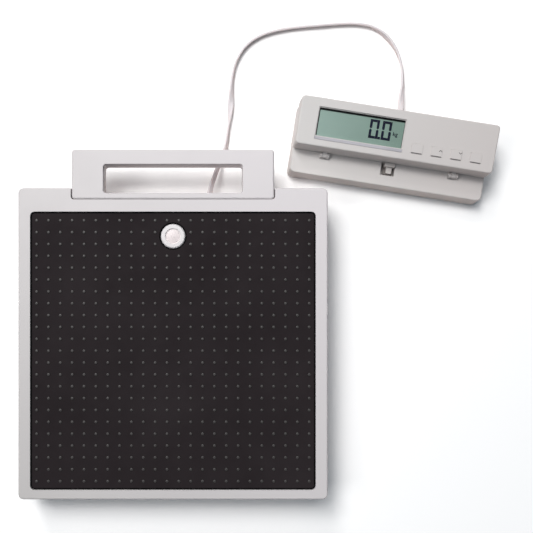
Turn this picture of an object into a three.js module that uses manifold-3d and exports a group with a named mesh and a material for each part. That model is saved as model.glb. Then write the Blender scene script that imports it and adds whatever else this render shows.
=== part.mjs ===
// Flat floor scale with a separate display unit on a short flat cord.
// Millimetres, +Z up. The set stands on z = 0; +Y is the side with the carry handle.
// Platform pieces are laid out round the platform's centre, display pieces round the
// centre of the display head, and the whole set is then centred on its own outline.
import * as THREE from 'three';
import { mergeVertices } from 'three/addons/utils/BufferGeometryUtils.js';
import Module from 'manifold-3d';

const wasm = await Module();
wasm.setup();

// Clearances and cutters
const FIT = 0.3;
const OVERRUN = 1;
const ARC_STEPS = 3;
const SMALL_STEPS = 2;
const ROUND_SIDES = 20;
const SMALL_SIDES = 8;
const HINGE_SIDES = 12;

// Platform shell
const PLATFORM_WIDTH = 321;
const PLATFORM_DEPTH = 323;
const PLATFORM_HEIGHT = 60;
const PLATFORM_CORNER = 5.2;
const PLATFORM_EDGE = 1.8;
const PLATFORM_DRAFT = 1;
const PLATFORM_WALL = 3;
const PLATFORM_CLEARANCE = 6;
const TOP_PLATE = 3.5;
const RIB_THICKNESS = 2;
const RIB_HEIGHT = 10;
const RIB_COUNT = 4;
const RIB_PITCH = 55;

// Tread mat and its studs
const SIDE_RIM = 12.5;
const FRONT_RIM = 10;
const REAR_RIM = 24.6;
const RECESS_DEPTH = 4;
const RECESS_CORNER = 4.4;
const MAT_GAP = 1;
const MAT_THICKNESS = 3;
const STUD_PITCH = 12.32;
const STUD_MARGIN = 5;
const STUD_SPREAD = 2;
const STUD_HEIGHT = 0.9;
const STUD_SIDES = 3;
const STUD_ROOT = 0.4;

// Circular level
const LEVEL_FROM_REAR = 50;
const LEVEL_HOLE_RADIUS = 14.2;
const BEZEL_RADIUS = 12.8;
const BEZEL_BORE_RADIUS = 8.1;
const BEZEL_SHOULDER = 1.6;
const BEZEL_RISE = 3.7;
const BEZEL_SKIRT = 8;
const BEZEL_SKIRT_WALL = 1.4;
const VIAL_FLANGE = 1.5;
const VIAL_WALL = 1.2;
const VIAL_DEPTH = 7;
const LENS_RADIUS = 6.8;
const LENS_THICKNESS = 1.6;
const LENS_CROWN = 0.7;

// Carry handle
const HANDLE_WIDTH = 210;
const HANDLE_REACH = 40;
const HANDLE_THICKNESS = 19.5;
const HANDLE_CORNER = 3.2;
const HANDLE_EDGE = 2;
const NOTCH_DEPTH = 12;
const NOTCH_SIDE_GAP = 0.9;
const GRIP_WIDTH = 144;
const GRIP_DEPTH = 29.4;
const GRIP_BAR = 15.7;
const GRIP_CORNER = 3;
const HOOK_SPACING = 120;
const HOOK_WIDTH = 36;
const HOOK_HEIGHT = 6;
const HOOK_DROP = 12;
const HOOK_LENGTH = 6;
const HOOK_BARB = 1.6;

// Base plate, battery bay and lid
const BASE_THICKNESS = 2.5;
const BASE_GAP = 0.4;
const BASE_RIB_HEIGHT = 3.5;
const BASE_SCREW_INSET = 12.5;
const BASE_SCREW_SPACING = 120;
const BOSS_RADIUS = 5;
const PAD_RADIUS = 6;
const PAD_HEIGHT = 5;
const COUNTERBORE_DEPTH = 3;
const CELL_RADIUS = 7.25;
const CELL_LENGTH = 50.5;
const CELL_TIP_RADIUS = 2.7;
const CELL_TIP = 1.2;
const CELL_COUNT = 4;
const CELL_PITCH = 15.2;
const BAY_WALL = 2;
const BAY_CENTRE_Y = -58;
const LID_MARGIN = 5;
const LID_THICKNESS = 1.8;
const LID_RIDGE = 0.6;
const LID_RIDGE_PITCH = 4;
const LID_RIDGES = 5;
const LID_RIDGE_WIDTH = 30;
const RAIL_THICKNESS = 2;
const RAIL_LIP = 3;

// Main circuit board
const BOARD_THICKNESS = 1.6;
const MAIN_BOARD_WIDTH = 80;
const MAIN_BOARD_DEPTH = 46;
const MAIN_BOARD_X = 30;
const MAIN_BOARD_Y = 92;
const STANDOFF_HEIGHT = 5;
const STANDOFF_RADIUS = 3;
const CHIP_SIZE = 12;
const CHIP_HEIGHT = 2;
const PLUG_WIDTH = 14;
const PLUG_DEPTH = 8;
const PLUG_HEIGHT = 7;

// Feet and load cells
const FOOT_INSET_X = 42.5;
const FOOT_INSET_Y = 43.5;
const PAD_FOOT_RADIUS = 14;
const PAD_FOOT_HEIGHT = 4.5;
const PAD_FOOT_EDGE = 1;
const PAD_SOCKET_FLOOR = 1.5;
const PAD_FOOT_SIDES = 14;
const THREAD_RADIUS = 4;
const THREAD_TOP = 30;
const WHEEL_RADIUS = 12;
const WHEEL_HEIGHT = 3.2;
const WHEEL_LOBES = 8;
const WHEEL_LOBE_DEPTH = 0.7;
const WHEEL_HOLE_GAP = 2.5;
const CELL_PLATE_SIZE = 34;
const CELL_PLATE_THICKNESS = 3;
const CELL_PLATE_BASE = 18.5;
const CELL_SLOT = 2;
const CELL_TONGUE = 17;
const CELL_NUT_RADIUS = 7;
const CELL_NUT_HEIGHT = 5;
const NUT_SIDES = 6;
const TOWER_WALL = 4;

// Screws
const SCREW_RADIUS = 1.5;
const SCREW_HEAD_RADIUS = 3;
const SCREW_HEAD_HEIGHT = 1.8;
const BASE_SCREW_LENGTH = 14;
const HEAD_SCREW_LENGTH = 11;

// Cord and its strain reliefs
const CORD_WIDTH = 6.6;
const CORD_THICKNESS = 2.8;
const CORD_SIDES = 8;
const CORD_STEPS = 50;
const GLAND_WIDTH = 13;
const GLAND_HEIGHT = 8;
const GLAND_TIP_WIDTH = 9;
const GLAND_TIP_HEIGHT = 5;
const GLAND_LENGTH = 9;
const GLAND_FLANGE = 2;
const PLATFORM_GLAND_X = 37.3;
const STAND_GLAND_X = 6;

// Display unit
const DISPLAY_X = 235.2;
const DISPLAY_Y = 219.5;
const DISPLAY_TURN_DEG = -9;
const DISPLAY_WIDTH = 210;
const STAND_REACH = 26;
const STAND_TOP = 24;
const STAND_BASE = 1.5;
const STAND_CORNER = 5.2;
const STAND_EDGE = 1.5;
const STAND_DRAFT = 1;
const STAND_WALL = 2.5;
const STAND_RIBS = 4;
const STAND_PLATE = 2;
const STAND_FOOT_RADIUS = 6;
const STAND_FOOT_INSET = 13;
const STAND_FOOT_SIDES = 16;
const HEAD_DEPTH = 50.4;
const HEAD_FRONT_TOP = 48;
const HEAD_REAR_TOP = 52;
const HEAD_SPLIT = 34;
const HEAD_CORNER = 3.6;
const HEAD_EDGE = 1.6;
const HEAD_DRAFT = 0.7;
const HEAD_WALL = 2.4;
const HEAD_BOSS_RADIUS = 3.4;
const HEAD_BOSS_INSET = 8;

// Window, keys and circuit in the display head
const WINDOW_INSET = 19.2;
const WINDOW_DEPTH = 31.1;
const WINDOW_Y = 0.5;
const WINDOW_CORNER = 0.8;
const WINDOW_SINK = 1.5;
const WINDOW_THICKNESS = 1;
const WINDOW_LEDGE = 0.9;
const PANEL_THICKNESS = 2.6;
const LCD_MARGIN = 2;
const LCD_THICKNESS = 3.4;
const STRIP_DEPTH = 3;
const STRIP_THICKNESS = 0.5;
const KEY_COUNT = 4;
const KEY_WIDTH = 11.9;
const KEY_DEPTH = 10.3;
const KEY_CORNER = 1;
const KEY_PITCH = 20.85;
const KEY_INSET = 20;
const KEY_FIELD = 97.8;
const KEY_Y = -12;
const KEY_RISE = 0.6;
const KEY_FLANGE = 1.2;
const KEY_FLANGE_THICKNESS = 1;
const KEY_TRAVEL = 1;
const KEY_MAT_THICKNESS = 1.2;
const KEY_MAT_MARGIN = 2.5;
const DISPLAY_BOARD_INSET_X = 14;
const DISPLAY_BOARD_INSET_Y = 7.2;

// Tilt hinge and catch
const LUG_INSET = 35;
const LUG_RADIUS = 3;
const KNUCKLE_WIDTH = 5;
const EAR_WIDTH = 2.2;
const PIN_RADIUS = 1.4;
const PIN_OVERHANG = 0.2;
const CATCH_POCKET_WIDTH = 15;
const CATCH_POCKET_DEPTH = 13.6;
const CATCH_POCKET_DROP = 9;
const CATCH_CAP_WIDTH = 11;
const CATCH_CAP_DEPTH = 4.1;
const CATCH_STEM_WIDTH = 6;
const CATCH_STEM_DEPTH = 6.8;
const CATCH_SOLE = 2;
const CATCH_OFFSET = 1.2;
const CATCH_CORNER = 0.5;

// The cord's route: down from the platform's strain relief, round on the floor and up to the stand's
const CORD_ROUTE = [
  [37.3, 158.8, 14.8], [37.5, 161.8, 14.8], [38.3, 166.8, 14.8], [40.1, 173.5, 14.4],
  [42.7, 181.5, 13], [45.9, 190.8, 10.7], [49.6, 200.3, 8.1], [54.2, 212.8, 4.9], [57, 226.6, 3.3],
  [58.6, 240.9, 3.4], [60, 255.2, 2.7], [61.2, 269.5, 2.3], [61.8, 281.5, 3.2], [63, 294.5, 3.4],
  [67, 310.8, 3.4], [76.3, 326.6, 3.4], [91.3, 338, 3.4], [110.7, 344.8, 3.3], [134.2, 348.6, 3.3],
  [162.6, 351, 3.3], [183.9, 352.6, 3.3], [201.7, 352.3, 3.4], [218.2, 348.3, 3.4], [233.2, 338, 3.4],
  [244.2, 322.8, 3.4], [250, 305.2, 3.4], [250.6, 286.7, 5.8], [249.8, 279.5, 7.4],
  [248.9, 273.1, 8.6], [248.2, 267, 9.5], [247.7, 261.6, 9.8], [247.2, 257.5, 9.8],
  [246.7, 253.6, 9.8],
];

// Sizes that follow from the ones above
const rearEdge = PLATFORM_DEPTH / 2;
const notchY = rearEdge - NOTCH_DEPTH;
const notchWidth = HANDLE_WIDTH + 2 * NOTCH_SIDE_GAP;
const recessWidth = PLATFORM_WIDTH - 2 * SIDE_RIM;
const recessDepth = PLATFORM_DEPTH - FRONT_RIM - REAR_RIM;
const recessY = (FRONT_RIM - REAR_RIM) / 2;
const matWidth = recessWidth - 2 * MAT_GAP;
const matDepth = recessDepth - 2 * MAT_GAP;
const matTop = PLATFORM_HEIGHT - RECESS_DEPTH + MAT_THICKNESS;
const studColumns = 1 + Math.floor((matWidth - 2 * STUD_MARGIN) / STUD_PITCH);
const studRows = 1 + Math.floor((matDepth - 2 * STUD_MARGIN) / STUD_PITCH);
const recessFloor = PLATFORM_HEIGHT - RECESS_DEPTH;
const ceiling = recessFloor - TOP_PLATE;
const levelY = rearEdge - LEVEL_FROM_REAR;
const levelBoreRadius = BEZEL_BORE_RADIUS + BEZEL_SKIRT_WALL + FIT;
const baseTop = PLATFORM_CLEARANCE + BASE_THICKNESS;
const bossX = PLATFORM_WIDTH / 2 - BASE_SCREW_INSET;
const padTop = PLATFORM_CLEARANCE + PAD_HEIGHT;
const platformGlandZ = baseTop + FIT + GLAND_FLANGE + GLAND_HEIGHT / 2;
const towerBase = CELL_PLATE_BASE + CELL_PLATE_THICKNESS + FIT;
const towerSize = CELL_PLATE_SIZE + TOWER_WALL;
const bayWidth = CELL_COUNT * CELL_PITCH + 2 * FIT;
const bayDepth = CELL_LENGTH + CELL_TIP + 2 * FIT;
const bayTop = baseTop + 2 * CELL_RADIUS + FIT;
const lidTop = PLATFORM_CLEARANCE - FIT;
const lidBottom = lidTop - LID_THICKNESS;
const lidWidth = bayWidth + 2 * LID_MARGIN;
const lidDepth = bayDepth + 2 * LID_MARGIN;
const standRibPitch = DISPLAY_WIDTH / (STAND_RIBS + 1);
const headBottom = STAND_TOP + FIT;
const headHalfDepth = HEAD_DEPTH / 2;
const standFrontY = -headHalfDepth - STAND_REACH;
const standDepth = HEAD_DEPTH + STAND_REACH;
const standY = (headHalfDepth + standFrontY) / 2;
const panelZ = (HEAD_FRONT_TOP + HEAD_REAR_TOP) / 2;
const panelLift = (HEAD_REAR_TOP - HEAD_FRONT_TOP) / 2;
const panelAngle = Math.atan2(HEAD_REAR_TOP - HEAD_FRONT_TOP, HEAD_DEPTH);
const headFrontY = -headHalfDepth - HEAD_DRAFT;
const hingeY = headFrontY - FIT - LUG_RADIUS;
const hingeZ = STAND_TOP + FIT + LUG_RADIUS;
const standGlandZ = STAND_BASE + STAND_PLATE + FIT + GLAND_FLANGE + GLAND_HEIGHT / 2;
const lugSpacing = DISPLAY_WIDTH - 2 * LUG_INSET;
const windowWidth = DISPLAY_WIDTH - WINDOW_INSET - KEY_FIELD;
const windowX = WINDOW_INSET + (windowWidth - DISPLAY_WIDTH) / 2;
const stripY = WINDOW_Y - (WINDOW_DEPTH + STRIP_DEPTH) / 2;
const keyMiddleX = DISPLAY_WIDTH / 2 - KEY_INSET - (KEY_COUNT - 1) * KEY_PITCH / 2;
const catchPocketFloor = STAND_TOP - CATCH_POCKET_DROP;
const catchPocketY = headFrontY - CATCH_POCKET_DEPTH / 2;
const flangeTop = -PANEL_THICKNESS - FIT;
const keyMatTop = flangeTop - KEY_FLANGE_THICKNESS - KEY_TRAVEL - FIT;
const lcdTop = -PANEL_THICKNESS - FIT;
const displayBoardTop = Math.min(keyMatTop - KEY_MAT_THICKNESS, lcdTop - LCD_THICKNESS) - FIT;

// Finishes
const finish = (color, roughness, metalness = 0) =>
  new THREE.MeshStandardMaterial({ color, roughness, metalness });
const shellPlastic = finish(0xd9d6d5, 0.55);
const handlePlastic = finish(0xdfdbdc, 0.5);
const displayPlastic = finish(0xcdc8c5, 0.55);
const standPlastic = finish(0xd3cfce, 0.55);
const matRubber = finish(0x322e2f, 0.8);
const footRubber = finish(0x2b2a2a, 0.85);
const basePlastic = finish(0x8f9092, 0.7);
const whitePlastic = finish(0xe9e7e4, 0.4);
const vialPlastic = finish(0xe3d3c8, 0.3);
const lensPlastic = finish(0xeadfd6, 0.1);
const steel = finish(0xb4b6b8, 0.35, 0.9);
const circuitGreen = finish(0x2f6b45, 0.6);
const cellJacket = finish(0x54585c, 0.4, 0.3);
const lcdGreen = finish(0x8fa69d, 0.35);
const windowClear = finish(0xbfcac6, 0.1);
const stripWhite = finish(0xe4e1ec, 0.5);
const cordPlastic = finish(0xe6e4e3, 0.5);
const siliconeGrey = finish(0x9a9a9c, 0.8);

// Joining and cutting closed shapes
function toSolid(geometry) {
  const bare = geometry.clone();
  bare.deleteAttribute('normal');
  bare.deleteAttribute('uv');
  const merged = mergeVertices(bare);
  const vertProperties = new Float32Array(merged.attributes.position.array);
  const triVerts = new Uint32Array(merged.index.array);
  return new wasm.Manifold(new wasm.Mesh({ numProp: 3, vertProperties, triVerts }));
}

function toGeometry(solid) {
  const mesh = solid.getMesh();
  const geometry = new THREE.BufferGeometry();
  geometry.setAttribute('position', new THREE.BufferAttribute(mesh.vertProperties, 3));
  geometry.setIndex(new THREE.BufferAttribute(mesh.triVerts, 1));
  return geometry;
}

function join(...pieces) {
  return toGeometry(pieces.map(toSolid).reduce((whole, piece) => whole.add(piece)));
}

function cut(base, ...tools) {
  return toGeometry(tools.map(toSolid).reduce((whole, tool) => whole.subtract(tool), toSolid(base)));
}

// Basic closed shapes
function ring(width, depth, radius, z, lift = 0, steps = ARC_STEPS) {
  const centreX = width / 2 - radius;
  const centreY = depth / 2 - radius;
  const quadrants = [[1, 1], [-1, 1], [-1, -1], [1, -1]];
  const points = [];
  quadrants.forEach(([sx, sy], quadrant) => {
    for (let step = 0; step <= steps; step += 1) {
      const angle = (quadrant + step / steps) * Math.PI / 2;
      const x = sx * centreX + radius * Math.cos(angle);
      const y = sy * centreY + radius * Math.sin(angle);
      points.push(new THREE.Vector3(x, y, z + lift * y / (depth / 2)));
    }
  });
  return points;
}

function loft(rings) {
  const count = rings[0].length;
  const position = rings.flat().flatMap((point) => [point.x, point.y, point.z]);
  const index = [];
  for (let level = 0; level + 1 < rings.length; level += 1) {
    for (let k = 0; k < count; k += 1) {
      const a = level * count + k;
      const b = level * count + (k + 1) % count;
      index.push(a, b, b + count, a, b + count, a + count);
    }
  }
  const last = (rings.length - 1) * count;
  for (let k = 1; k + 1 < count; k += 1) {
    index.push(0, k + 1, k, last, last + k, last + k + 1);
  }
  const geometry = new THREE.BufferGeometry();
  geometry.setAttribute('position', new THREE.Float32BufferAttribute(position, 3));
  geometry.setIndex(index);
  return geometry;
}

function slab(width, depth, radius, bottom, top) {
  return loft([ring(width, depth, radius, bottom), ring(width, depth, radius, top)]);
}

function smallSlab(width, depth, radius, bottom, top) {
  return loft([
    ring(width, depth, radius, bottom, 0, SMALL_STEPS),
    ring(width, depth, radius, top, 0, SMALL_STEPS),
  ]);
}

function block(width, depth, height, x, y, bottom) {
  return new THREE.BoxGeometry(width, depth, height).translate(x, y, bottom + height / 2);
}

function rod(radius, bottom, top, sides = ROUND_SIDES) {
  const geometry = new THREE.CylinderGeometry(radius, radius, top - bottom, sides);
  return geometry.rotateX(Math.PI / 2).translate(0, 0, (bottom + top) / 2);
}

function turned(profile, sides = ROUND_SIDES) {
  const points = profile.map(([radius, z]) => new THREE.Vector2(radius, z));
  return new THREE.LatheGeometry(points, sides).rotateX(Math.PI / 2);
}

// A rounded block with draft below and a rounded upper edge; the top may slope by lift.
function casing({ width, depth, corner, edge, draft, bottom, top, lift = 0 }) {
  const levels = [ring(width + 2 * draft, depth + 2 * draft, corner, bottom)];
  for (let step = 0; step <= ARC_STEPS; step += 1) {
    const angle = step / ARC_STEPS * Math.PI / 2;
    const inset = edge * (1 - Math.cos(angle));
    const z = top - edge + edge * Math.sin(angle);
    levels.push(ring(width - 2 * inset, depth - 2 * inset, corner - inset, z, lift));
  }
  return loft(levels);
}

const corners = [[1, 1], [-1, 1], [-1, -1], [1, -1]];
const sides = [1, -1];

function spread(count, pitch) {
  return Array.from({ length: count }, (unused, k) => (k - (count - 1) / 2) * pitch);
}

function named(name, geometry, material) {
  const mesh = new THREE.Mesh(geometry, material);
  mesh.name = name;
  return mesh;
}

function screw(length) {
  return turned([
    [0, 0],
    [SCREW_HEAD_RADIUS, 0],
    [SCREW_HEAD_RADIUS, SCREW_HEAD_HEIGHT],
    [SCREW_RADIUS, SCREW_HEAD_HEIGHT],
    [SCREW_RADIUS, length],
    [0, length],
  ], SMALL_SIDES);
}

// Platform shell: a drafted tray with the mat's recess, the handle's notch and ribs inside
function notchTool(growth) {
  const width = notchWidth + 2 * growth;
  const depth = 2 * (NOTCH_DEPTH + growth);
  return slab(width, depth, HANDLE_CORNER + growth, -OVERRUN, PLATFORM_HEIGHT + OVERRUN)
    .translate(0, rearEdge, 0);
}

function hookPlaces() {
  return sides.map((side) => side * HOOK_SPACING / 2);
}

function hookTool(growth) {
  const hookTop = PLATFORM_HEIGHT - HOOK_DROP + growth;
  const hookY = notchY - PLATFORM_WALL / 2;
  return hookPlaces().map((x) => block(HOOK_WIDTH + 2 * growth, PLATFORM_WALL + 2 * OVERRUN,
    HOOK_HEIGHT + 2 * growth, x, hookY, hookTop - HOOK_HEIGHT - 2 * growth));
}

function footPlaces() {
  return corners.map(([sx, sy]) =>
    [sx * (PLATFORM_WIDTH / 2 - FOOT_INSET_X), sy * (rearEdge - FOOT_INSET_Y)]);
}

function basePlaces() {
  return corners.map(([sx, sy]) => [sx * bossX, sy * BASE_SCREW_SPACING / 2]);
}

function insideOf(bottom, top) {
  const width = PLATFORM_WIDTH - 2 * PLATFORM_WALL;
  const depth = PLATFORM_DEPTH - 2 * PLATFORM_WALL;
  const corner = PLATFORM_CORNER - PLATFORM_WALL;
  return loft([
    ring(width - 2 * PLATFORM_DRAFT, depth - 2 * PLATFORM_DRAFT, corner, bottom),
    ring(width, depth, corner, top),
  ]);
}

function shellInside() {
  const notchWall = notchTool(PLATFORM_WALL);
  return cut(insideOf(PLATFORM_CLEARANCE - OVERRUN, ceiling), notchWall);
}

function shellRibs() {
  const ribs = [];
  const bottom = ceiling - RIB_HEIGHT;
  const height = RIB_HEIGHT + OVERRUN;
  const reachX = PLATFORM_WIDTH - PLATFORM_WALL;
  const reachY = rearEdge + notchY - PLATFORM_WALL;
  const midY = (notchY - rearEdge) / 2;
  for (const place of spread(RIB_COUNT, RIB_PITCH)) {
    ribs.push(block(reachX, RIB_THICKNESS, height, 0, place, bottom));
    ribs.push(block(RIB_THICKNESS, reachY, height, place, midY, bottom));
  }
  return ribs;
}

function shellBosses() {
  const gussetReach = BASE_SCREW_INSET - PLATFORM_WALL / 2 - PLATFORM_DRAFT;
  return basePlaces().flatMap(([x, y]) => [
    rod(BOSS_RADIUS, padTop + FIT, ceiling + OVERRUN, SMALL_SIDES).translate(x, y, 0),
    block(gussetReach, RIB_THICKNESS, ceiling - padTop, x + Math.sign(x) * gussetReach / 2, y, padTop + FIT),
  ]);
}

function platformShell() {
  const outside = casing({
    width: PLATFORM_WIDTH,
    depth: PLATFORM_DEPTH,
    corner: PLATFORM_CORNER,
    edge: PLATFORM_EDGE,
    draft: -PLATFORM_DRAFT,
    bottom: PLATFORM_CLEARANCE,
    top: PLATFORM_HEIGHT,
  });
  const recess = slab(recessWidth, recessDepth, RECESS_CORNER, recessFloor, PLATFORM_HEIGHT + OVERRUN)
    .translate(0, recessY, 0);
  const tray = cut(outside, shellInside(), recess, notchTool(0));
  const towers = footPlaces().map(([x, y]) =>
    block(towerSize, towerSize, ceiling + OVERRUN - towerBase, x, y, towerBase));
  const built = join(tray, ...shellRibs(), ...shellBosses(), ...towers);
  const towerBores = footPlaces().map(([x, y]) =>
    block(CELL_PLATE_SIZE - 2 * TOWER_WALL, CELL_PLATE_SIZE - 2 * TOWER_WALL,
      ceiling - towerBase + OVERRUN, x, y, towerBase - OVERRUN));
  const screwHoleTop = PLATFORM_CLEARANCE + BASE_SCREW_LENGTH + 2 * COUNTERBORE_DEPTH;
  const screwHoles = basePlaces().map(([x, y]) =>
    rod(SCREW_RADIUS + FIT, PLATFORM_CLEARANCE, screwHoleTop, SMALL_SIDES).translate(x, y, 0));
  const levelHole = rod(levelBoreRadius, ceiling - RIB_HEIGHT - OVERRUN, recessFloor + OVERRUN)
    .translate(0, levelY, 0);
  const glandHole = block(GLAND_WIDTH + 2 * FIT, PLATFORM_WALL + 2 * OVERRUN, GLAND_HEIGHT + 2 * FIT,
    PLATFORM_GLAND_X, notchY - PLATFORM_WALL / 2, platformGlandZ - GLAND_HEIGHT / 2 - FIT);
  return cut(built, ...towerBores, ...screwHoles, levelHole, glandHole, ...hookTool(FIT));
}

// Tread mat: a thin plate in the recess with rows of low studs, open round the level
function matStuds() {
  const stud = new THREE.ConeGeometry(STUD_SPREAD, STUD_HEIGHT + STUD_ROOT, STUD_SIDES)
    .rotateX(Math.PI / 2).translate(0, 0, matTop + (STUD_HEIGHT - STUD_ROOT) / 2);
  const places = spread(studRows, STUD_PITCH).flatMap((y) =>
    spread(studColumns, STUD_PITCH).map((x) => [x, y + recessY]));
  return places.filter(([x, y]) => Math.hypot(x, y - levelY) > LEVEL_HOLE_RADIUS + STUD_SPREAD)
    .map(([x, y]) => stud.clone().translate(x, y, 0));
}

function treadMat() {
  const plate = slab(matWidth, matDepth, RECESS_CORNER - MAT_GAP, recessFloor, matTop)
    .translate(0, recessY, 0);
  const opening = rod(LEVEL_HOLE_RADIUS, recessFloor - OVERRUN, PLATFORM_HEIGHT + OVERRUN)
    .translate(0, levelY, 0);
  return join(cut(plate, opening), ...matStuds());
}

// Circular level: a bezel through the top plate, a vial hung in it and a crowned lens
function levelBezel() {
  const skirtRadius = BEZEL_BORE_RADIUS + BEZEL_SKIRT_WALL;
  return turned([
    [BEZEL_BORE_RADIUS, recessFloor - BEZEL_SKIRT],
    [skirtRadius, recessFloor - BEZEL_SKIRT],
    [skirtRadius, recessFloor],
    [BEZEL_RADIUS, recessFloor],
    [BEZEL_RADIUS, recessFloor + BEZEL_RISE - BEZEL_SHOULDER],
    [BEZEL_RADIUS - BEZEL_SHOULDER / 2, recessFloor + BEZEL_RISE - BEZEL_SHOULDER / 3],
    [BEZEL_RADIUS - BEZEL_SHOULDER, recessFloor + BEZEL_RISE],
    [BEZEL_BORE_RADIUS, recessFloor + BEZEL_RISE],
    [BEZEL_BORE_RADIUS, recessFloor - BEZEL_SKIRT],
  ]).translate(0, levelY, 0);
}

const vialTop = recessFloor + VIAL_FLANGE;
const vialRadius = BEZEL_BORE_RADIUS - FIT;

function levelVial() {
  return turned([
    [0, vialTop - VIAL_DEPTH],
    [vialRadius, vialTop - VIAL_DEPTH],
    [vialRadius, vialTop],
    [vialRadius - VIAL_WALL, vialTop],
    [vialRadius - VIAL_WALL, vialTop - VIAL_DEPTH + VIAL_WALL],
    [0, vialTop - VIAL_DEPTH + VIAL_WALL],
  ], SMALL_SIDES).translate(0, levelY, 0);
}

function levelLens() {
  const bottom = vialTop + FIT;
  return turned([
    [0, bottom],
    [LENS_RADIUS, bottom],
    [LENS_RADIUS, bottom + LENS_THICKNESS - LENS_CROWN],
    [LENS_RADIUS / 2, bottom + LENS_THICKNESS - LENS_CROWN / 4],
    [0, bottom + LENS_THICKNESS],
  ]).translate(0, levelY, 0);
}

// Carry handle: a flat frame that fills the notch and clips through its wall
function carryHandle() {
  const front = notchY + FIT;
  const rear = rearEdge + HANDLE_REACH;
  const bottom = PLATFORM_HEIGHT - HANDLE_THICKNESS;
  const body = casing({
    width: HANDLE_WIDTH,
    depth: rear - front,
    corner: HANDLE_CORNER,
    edge: HANDLE_EDGE,
    draft: -HANDLE_EDGE / 2,
    bottom,
    top: PLATFORM_HEIGHT,
  }).translate(0, (front + rear) / 2, 0);
  const gripY = rear - GRIP_BAR - GRIP_DEPTH / 2;
  const grip = slab(GRIP_WIDTH, GRIP_DEPTH, GRIP_CORNER, bottom - OVERRUN, PLATFORM_HEIGHT - HANDLE_EDGE / 2)
    .translate(0, gripY, 0);
  const gripFlare = loft([
    ring(GRIP_WIDTH, GRIP_DEPTH, GRIP_CORNER, PLATFORM_HEIGHT - HANDLE_EDGE),
    ring(GRIP_WIDTH + HANDLE_EDGE, GRIP_DEPTH + HANDLE_EDGE, GRIP_CORNER, PLATFORM_HEIGHT + HANDLE_EDGE),
  ]).translate(0, gripY, 0);
  const hookTop = PLATFORM_HEIGHT - HOOK_DROP;
  const hookEnd = notchY - PLATFORM_WALL - FIT - HOOK_LENGTH;
  const barbDepth = HOOK_LENGTH;
  const hooks = hookPlaces().flatMap((x) => [
    block(HOOK_WIDTH, front + OVERRUN - hookEnd, HOOK_HEIGHT, x, (front + OVERRUN + hookEnd) / 2,
      hookTop - HOOK_HEIGHT),
    block(HOOK_WIDTH, barbDepth, HOOK_BARB + OVERRUN, x, hookEnd + barbDepth / 2,
      hookTop - HOOK_HEIGHT - HOOK_BARB),
  ]);
  return join(cut(body, grip, gripFlare), ...hooks);
}

// Base plate with foot holes, battery bay, screw pads, lid rails and low ribs
function basePlate() {
  const width = PLATFORM_WIDTH - 2 * PLATFORM_DRAFT - 2 * PLATFORM_WALL - 2 * BASE_GAP;
  const depth = PLATFORM_DEPTH - 2 * PLATFORM_DRAFT - 2 * PLATFORM_WALL - 2 * BASE_GAP;
  const corner = PLATFORM_CORNER - PLATFORM_WALL;
  const plate = slab(width, depth, corner, PLATFORM_CLEARANCE, baseTop);
  const ribs = sides.flatMap((side) => [
    block(width - 2 * BASE_SCREW_INSET, RIB_THICKNESS, BASE_RIB_HEIGHT + OVERRUN, 0,
      side * RIB_PITCH / 2, baseTop - OVERRUN),
    block(RIB_THICKNESS, depth - 2 * NOTCH_DEPTH - 2 * BASE_SCREW_INSET, BASE_RIB_HEIGHT + OVERRUN,
      side * RIB_PITCH * 3 / 2, 0, baseTop - OVERRUN),
  ]);
  const pads = basePlaces().map(([x, y]) =>
    rod(PAD_RADIUS, PLATFORM_CLEARANCE, padTop, SMALL_SIDES).translate(x, y, 0));
  const standoffs = corners.map(([sx, sy]) => rod(STANDOFF_RADIUS, baseTop - OVERRUN,
    baseTop + STANDOFF_HEIGHT, SMALL_SIDES).translate(
    MAIN_BOARD_X + sx * (MAIN_BOARD_WIDTH / 2 - 2 * STANDOFF_RADIUS),
    MAIN_BOARD_Y + sy * (MAIN_BOARD_DEPTH / 2 - 2 * STANDOFF_RADIUS), 0));
  const bay = block(bayWidth + 2 * BAY_WALL, bayDepth + 2 * BAY_WALL,
    bayTop + BAY_WALL - PLATFORM_CLEARANCE, 0, BAY_CENTRE_Y, PLATFORM_CLEARANCE);
  const railBottom = lidBottom - FIT - RAIL_THICKNESS;
  const railX = lidWidth / 2 + FIT + RAIL_THICKNESS / 2;
  const lipX = lidWidth / 2 + FIT - RAIL_LIP / 2;
  const rails = sides.flatMap((side) => [
    block(RAIL_THICKNESS, lidDepth, baseTop - railBottom, side * railX, BAY_CENTRE_Y, railBottom),
    block(RAIL_LIP + RAIL_THICKNESS, lidDepth, RAIL_THICKNESS, side * (lipX + RAIL_THICKNESS / 2),
      BAY_CENTRE_Y, railBottom),
  ]);
  const raised = join(plate, ...ribs, ...pads, ...standoffs, bay, ...rails);
  const bayInside = block(bayWidth, bayDepth, bayTop - PLATFORM_CLEARANCE + OVERRUN, 0, BAY_CENTRE_Y,
    PLATFORM_CLEARANCE - OVERRUN);
  const footHoles = footPlaces().map(([x, y]) =>
    rod(WHEEL_RADIUS + WHEEL_LOBE_DEPTH + WHEEL_HOLE_GAP, -OVERRUN, padTop).translate(x, y, 0));
  const screwHoles = basePlaces().flatMap(([x, y]) => [
    rod(SCREW_RADIUS + FIT, -OVERRUN, padTop + OVERRUN, SMALL_SIDES).translate(x, y, 0),
    rod(SCREW_HEAD_RADIUS + FIT, -OVERRUN, PLATFORM_CLEARANCE + COUNTERBORE_DEPTH, SMALL_SIDES)
      .translate(x, y, 0),
  ]);
  const notchCut = notchTool(PLATFORM_WALL + BASE_GAP);
  return cut(raised, notchCut, bayInside, ...footHoles, ...screwHoles);
}

function baseScrew([x, y]) {
  const bottom = PLATFORM_CLEARANCE + COUNTERBORE_DEPTH - SCREW_HEAD_HEIGHT - FIT;
  return screw(BASE_SCREW_LENGTH).translate(x, y, bottom);
}

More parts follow.
